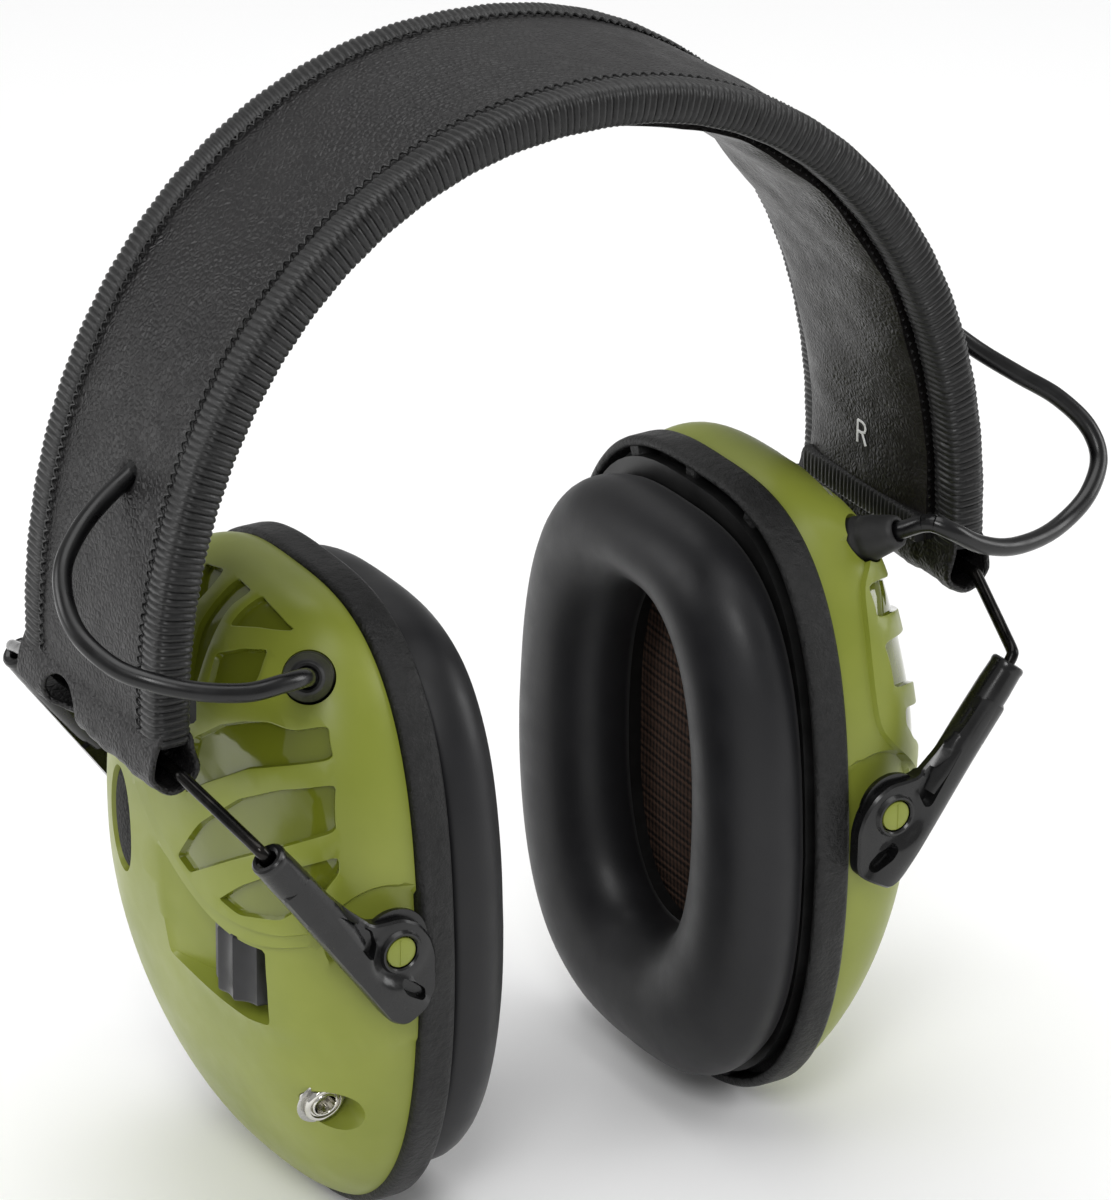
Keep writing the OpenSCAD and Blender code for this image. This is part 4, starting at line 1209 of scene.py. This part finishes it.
def arch_spots(count):
    """Values of t evenly spread along the outer surface, leg ends included."""
    t = np.linspace(-0.2, math.pi + 0.2, 6000)
    x, z = arch(t, 3.0)
    far = np.concatenate([[0], np.cumsum(np.hypot(np.diff(x), np.diff(z)))])
    return np.interp(np.linspace(0, far[-1], count), far, t), np.linspace(0, far[-1], count)


def band_piece(name, section, count, look, ripple, slot, nodes, smooth=40):
    """Closed section [(y, inset)] carried along the arch; ripple(y, inset, along) adds to inset and y."""
    spots, far = arch_spots(count)
    y = np.array([p[0] for p in section])
    inset = np.array([p[1] for p in section])
    rows = []
    for t, s in zip(spots, far):
        deeper, wider = ripple(y, inset, s)
        x, z = arch(np.full(len(y), t), inset + deeper)
        rows.append(np.stack([x, y + wider, z], 1))
    points, faces = ring_solid(rows)
    made = facing_out(piece(name, points, faces, look, "headband", smooth=smooth, slot=slot))
    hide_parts(*nodes)
    return made


def make_cover():
    """Outer skin of the band, crowned, with slack waves and a dent where each cable goes in."""
    edge = np.linspace(-SKIN_HALF, SKIN_HALF, 49)
    section = [(y, 1.35 - 0.75 * max(1 - (y / SKIN_HALF) ** 2, 0) ** 0.6) for y in edge]
    section += [(y, 2.1) for y in edge[::-7]]

    def slack(y, inset, s):
        top = inset < 1.9
        p = np.stack([y, np.full(len(y), s), 0 * y], 1)
        wave = 0.2 * lumps(p * [1, 0.55, 1], 9.0, 2.0) + 0.07 * lumps(p, 3.2, 5.0)
        wave *= 1 + 1.2 * np.exp(-((s - 60) / 30) ** 2) + 1.2 * np.exp(-((s - 275) / 30) ** 2)
        return np.where(top, wave * (1 - (y / 19.7) ** 2) ** 0.5, 0), 0.0

    cover = band_piece("band_skin", section, 340, "band_leather", slack, "band_leather", ["band_cover"])
    place = np.array([v.co for v in cover.data.vertices]) / MM
    for side in (-1, 1):
        off = np.linalg.norm((place - CABLE_IN * [side, 1, 1]) * [0.55, 1.0, 1.0], axis=1)
        place[:, 0] -= side * 0.9 * np.exp(-(off / 2.0) ** 4)
        place[:, 0] += side * 0.3 * np.exp(-((off - 3.2) / 0.9) ** 2)
    cover.data.vertices.foreach_set("co", (place * MM).ravel())
    cover.data.update()


def make_pad():
    """Padded lining of the band, puckered crosswise."""
    edge = np.linspace(-PAD_HALF, PAD_HALF, 45)
    section = [(y, 9.95 - 1.5 * abs(y / PAD_HALF) ** 4) for y in edge] + [(y, 3.4) for y in edge[::-8]]

    def puckers(y, inset, s):
        low = inset > 7
        p = np.stack([y * 0.8, np.full(len(y), s), 0 * y], 1)
        cross = np.sin(s / 4.3 + 1.2 * np.sin(s / 13.0) + 0.9 * np.sin(y / 7.0 + s / 19.0))
        wave = (0.36 * cross * (0.35 + 0.65 * (y / PAD_HALF) ** 2) + 0.34 * lumps(p, 6.0, 1.0)
                + 0.12 * lumps(p, 2.4, 8.0))
        return np.where(low, wave * (1 - 0.35 * np.abs(y / PAD_HALF) ** 6), 0), 0.0

    lining = band_piece("band_pad", section, 420, "lining_leather", puckers, "lining_leather",
                        ["band_lining", "band_foam"])


# section of the binding as (y, inset), and the length of the band that each of its ribs takes
WRAP = [(17.0, 0.8), (17.5, 0.5), (18.6, 0.38), (20.4, 0.34), (21.6, 0.55), (22.3, 1.15), (22.62, 2.1),
        (22.7, 3.6), (22.62, 5.1), (22.3, 6.1), (21.5, 6.7), (20.2, 6.95), (18.6, 7.05), (17.4, 7.0),
        (16.9, 6.6), (17.4, 5.0), (17.6, 2.2)]
RIB_PITCH, RIB_HIGH = 1.15, 0.42


def make_binding(sign, name):
    """Ribbed binding of one edge, folded round it, and its stitches."""
    def ribs(y, inset, s):
        phase = math.pi * (s / RIB_PITCH + 0.1 * (np.abs(y) - 17) + 0.05 * np.sin(s * 0.31))
        rib = (np.abs(np.sin(phase)) ** 0.6 - 0.7) * RIB_HIGH + 0.04 * np.sin(s * 0.73)
        hidden = (np.abs(y) < 17.7) & (inset > 1) & (inset < 6.7)
        out = np.stack([np.where(np.abs(y) > 21.4, 1.0, 0.0), signed_power((inset - 3.6) / 3.3, 3)], 1)
        out /= np.linalg.norm(out, axis=1, keepdims=True) + 1e-9
        rib = np.where(hidden, 0, rib)
        return out[:, 1] * rib, sign * out[:, 0] * rib

    band_piece(f"binding_{name}", [(sign * y, inset) for y, inset in WRAP], 2200, "thread_black", ribs,
               "binding", [f"edge_binding_{name}"], smooth=60)
    stitches(sign, name)


def stitches(sign, name):
    """Zig-zag thread beside the binding, on the outside and on the lining side."""
    spots, _ = arch_spots(620)
    for layer, depth in (("outer", 0.55), ("inner", 7.75)):
        line = []
        for i, t in enumerate(spots):
            zig = 0.55 * (1 if (i // 2) % 2 else -1) * (1 if i % 2 else 0.2)
            lift = 0.14 * math.cos(math.pi * i)
            x, z = arch(t, depth - lift * (1 if layer == "outer" else -1))
            line.append((float(x), sign * (16.2 + zig), float(z)))
        facing_out(piece(f"stitch_{layer}_{name}", *ring_solid(tube_rings(line, 0.24, 5, (0, 1, 0.01))),
                         "thread_black", "headband", slot="binding"))


def make_band_end(side, tag):
    """The outer leather folded round the yoke's wire: a thin open sleeve with an oval cut-out in its fold."""
    fold = smooth_path([(75.9, -79.4, 0), (76.3, -80.6, 0), (77.0, -82.2, 0), (77.5, -84, 0)]
                       + [(BAR_X + 4.3 * math.cos(a), BAR_Z + 4.3 * math.sin(a), 0)
                          for a in np.linspace(math.radians(-8), math.radians(-176), 12)]
                       + [(69.55, -84.2, 0), (69.9, -82.6, 0), (70.1, -80.5, 0)], 240)[:, :2]
    far = np.concatenate([[0], np.cumsum(np.linalg.norm(np.diff(fold, axis=0), axis=1))])
    ahead = np.gradient(fold, axis=0)
    inward = np.stack([ahead[:, 1], -ahead[:, 0]], 1) / np.linalg.norm(ahead, axis=1, keepdims=True)
    length, half = far[-1], WIDTH / 2 - 0.3
    box = rounded([(0, -half), (length, -half), (length, half), (0, half)], 0.8, 0.9)
    slot = [8.2, 8.5] + circle(60) * [5.2, 5.6]
    grid = lattice((0.8, length, 0.9), (-half + 0.8, half, 1.1))
    grid = grid[inside(grid, box) & (np.minimum(distance_to(grid, box), distance_to(grid, slot)) > 0.5)]
    edges = [box, drawn_in(box, 0.35), slot, drawn_in(slot, -0.35)]
    verts, tag_of, faces = fill_chart([(e, True) for e in edges], grid,
                                      lambda c: inside(c, box) & ~inside(c, slot))
    at = np.stack([np.interp(verts[:, 0], far, fold[:, k]) for k in (0, 1)], 1)
    into = np.stack([np.interp(verts[:, 0], far, inward[:, k]) for k in (0, 1)], 1)
    into /= np.linalg.norm(into, axis=1, keepdims=True)
    rim = np.where((tag_of == 0) | (tag_of == 2), 0.28, 0.0)
    s, y = verts[:, 0], verts[:, 1]
    wave = (0.16 * np.sin(y * 0.55 + s * 0.4) + 0.1 * np.sin(y * 1.3 - s)) * smoothstep(s, 5, 9)
    top = at + into * (rim - wave)[:, None]
    low = at + into * (1.0 - rim - wave)[:, None]
    top, low = (np.stack([skin[:, 0], verts[:, 1], skin[:, 1]], 1) for skin in (top, low))
    sleeve = facing_out(piece(f"{tag}_sleeve", *plate(verts, faces, top, low, [box, slot]), "band_leather",
                              "headband", side, smooth=60, slot="band_leather"))
    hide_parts(f"band_end_{tag}")
    # ribbed strip that closes the lining's lower end
    rows = []
    for y in np.linspace(-16.6, 16.6, 200):
        rib = 0.22 * abs(math.sin(y * math.pi / 1.1))
        x0, x1 = 69.9, 66.6 - rib
        rows.append([(x0, y, -77.4), (x1 + 0.5, y, -77.2), (x1, y, -77.7), (x1 - 0.05, y, -79.5),
                     (x1, y, -81.7), (x1 + 0.5, y, -82.1), (x0, y, -82.1)])
    facing_out(piece(f"{tag}_end_strip", *ring_solid(rows), "thread_black", "headband", side, smooth=50,
                     slot="binding"))


LETTER = 3.9
LETTER_R = [[(0.32, -0.5), (0.32, 0.5)],
            [(0.32, 0.5), (0.0, 0.5), (-0.2, 0.42), (-0.27, 0.25), (-0.2, 0.08), (0.0, 0.0), (0.32, 0.0)],
            [(-0.02, 0.0), (-0.32, -0.5)]]
LETTER_L = [[(-0.3, 0.5), (-0.3, -0.5)], [(-0.3, -0.5), (0.3, -0.5)]]


def make_letter(side, strokes, name):
    """White ear letter on the lining, from flattened strokes given as (y, z), 1 unit high."""
    parts = []
    for line in strokes:
        path = [(66.4, -0.7 + y * LETTER, -68.4 + z * LETTER) for y, z in line]
        parts.append(ring_solid(tube_rings(np.array(path), 0.27, 8, (1, 0.01, 0))))
    points, faces = join(*parts)
    points = np.array(points)
    points[:, 0] = 66.4 + (points[:, 0] - 66.4) * 0.5
    facing_out(piece(name, points, faces, "white_print", "headband", side, slot="lining_leather"))


# ---- cables: one long run a side, and three short overlapping lengths at the boot end ----
def make_cable(side, loop):
    tag = "left" if side < 0 else "right"
    line = smooth_path(loop, 160)
    share = np.linspace(0, 1, len(line))
    inner = line[0] + (line[0] - line[1]) / np.linalg.norm(line[0] - line[1]) * 2.4
    last = line[-1] + (line[-1] - line[-2]) / np.linalg.norm(line[-1] - line[-2]) * 3.0
    main = np.vstack([inner, line[share <= 0.935]])
    run = piece(f"cable_{tag}", *ring_solid(tube_rings(main, CABLE_R)), "cable_black", None,
                slot="cable_jacket")
    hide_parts(f"cable_loop_{tag}")
    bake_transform(run)
    for k, (a, b) in enumerate(((0.925, 0.955), (0.945, 0.98), (0.97, 1.0))):
        stretch = line[(share >= a) & (share <= b)]
        if k == 2:
            stretch = np.vstack([stretch, last])
        stretch = evenly(stretch, 14)
        rings = tube_rings(stretch, CABLE_R - 0.01 * (k + 1))
        short = piece(f"cable_{tag}_end{k}", *ring_solid(rings), "cable_black", None, slot="cable_jacket")
        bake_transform(short)


# ---- materials for the CAD parts that stay ----
KEPT = {"spring_strip": "steel", "band_lead": "cable_black", "cushion_plate": "plate_black",
        "foam_liner": "foam_black", "speaker_frame": "plate_black", "speaker": "plate_black",
        "frame_screws": "steel", "microphone": "steel", "volume_switch": "steel",
        "circuit_board": "board_green", "jack_contacts": "chrome", "battery_tray": "plate_black",
        "battery_cells": "foil_cell", "battery_contacts": "steel"}


def paint_kept():
    """Gives each CAD part that still shows the look named for it in KEPT."""
    for name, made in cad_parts.items():
        if made.hide_render:
            continue
        kind = name.replace("left_", "").replace("right_", "")
        made.data.materials.clear()
        made.data.materials.append(LOOKS[KEPT[kind]])


# ---- floor and lamps, in metres: name, place, width, power ----
FLOOR_REACH, FLOOR_GAP, LIT_POINT = 6.0, 0.0004, (0, 0, -0.09)
LAMPS = (("key", (-0.55, -0.75, 0.75), 0.34, 5.0), ("top", (0.1, 0.15, 0.95), 0.8, 7.0),
         ("side", (0.95, -0.35, 0.25), 0.4, 3.2), ("rim", (-0.8, 0.45, 0.3), 0.4, 3.2))


def make_room():
    """White floor just under the object, an even white surround and soft lamps."""
    mesh = bpy.data.meshes.new("floor")
    floor_z = CAD_BOX[0][2] - FLOOR_GAP
    corners = ((-1, -1), (1, -1), (1, 1), (-1, 1))
    mesh.from_pydata([(x * FLOOR_REACH, y * FLOOR_REACH, floor_z) for x, y in corners], [], [(0, 1, 2, 3)])
    floor = bpy.data.objects.new("floor", mesh)
    bpy.context.collection.objects.link(floor)
    paper = Look("paper", (0.92, 0.92, 0.92), 0.9)
    paper.tint(paper.noise(3, 2), (0.95, 0.95, 0.95), (0.97, 0.97, 0.97), 0.3)
    mesh.materials.append(paper.material)
    world = bpy.data.worlds.new("room")
    world.use_nodes = True
    world.node_tree.nodes["Background"].inputs["Color"].default_value = (1, 1, 1, 1)
    world.node_tree.nodes["Background"].inputs["Strength"].default_value = 0.4
    bpy.context.scene.world = world
    for name, place, size_m, power in LAMPS:
        lamp = bpy.data.lights.new(name, "AREA")
        lamp.energy = power
        lamp.shape = "RECTANGLE"
        lamp.size, lamp.size_y = size_m, size_m * 1.4
        made = bpy.data.objects.new(name, lamp)
        made.location = place
        made.rotation_euler = (Vector(LIT_POINT) - Vector(place)).to_track_quat("-Z", "Y").to_euler()
        bpy.context.collection.objects.link(made)
    bpy.context.scene.view_settings.view_transform = "Standard"


add_camera()
make_looks()
make_room()
make_cable(-1, LEFT_LOOP)
make_cable(1, RIGHT_LOOP)
for SIDE, TAG in ((-1, "left"), (1, "right")):
    shell = make_shell(f"{TAG}_shell", SIDE, f"{TAG}_cup", "green_plastic")
    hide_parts(f"{TAG}_cup_shell", f"{TAG}_window_panel")
    make_ring(SIDE, TAG)
    make_cushion(SIDE, TAG)
    make_liner(SIDE, TAG)
    make_yoke(SIDE, TAG)
    for WHERE, Y_SIGN in (("rear", 1), ("front", -1)):
        make_arm(SIDE, TAG, WHERE, Y_SIGN)
        make_pin(SIDE, TAG, WHERE, Y_SIGN)
    make_fittings(SIDE, TAG)
    make_band_end(SIDE, TAG)
make_door()
make_wheel()
make_jack()
make_cover()
make_pad()
make_binding(-1, "rear")
make_binding(1, "front")
make_letter(1, LETTER_R, "letter_right")
make_letter(-1, LETTER_L, "letter_left")
paint_kept()
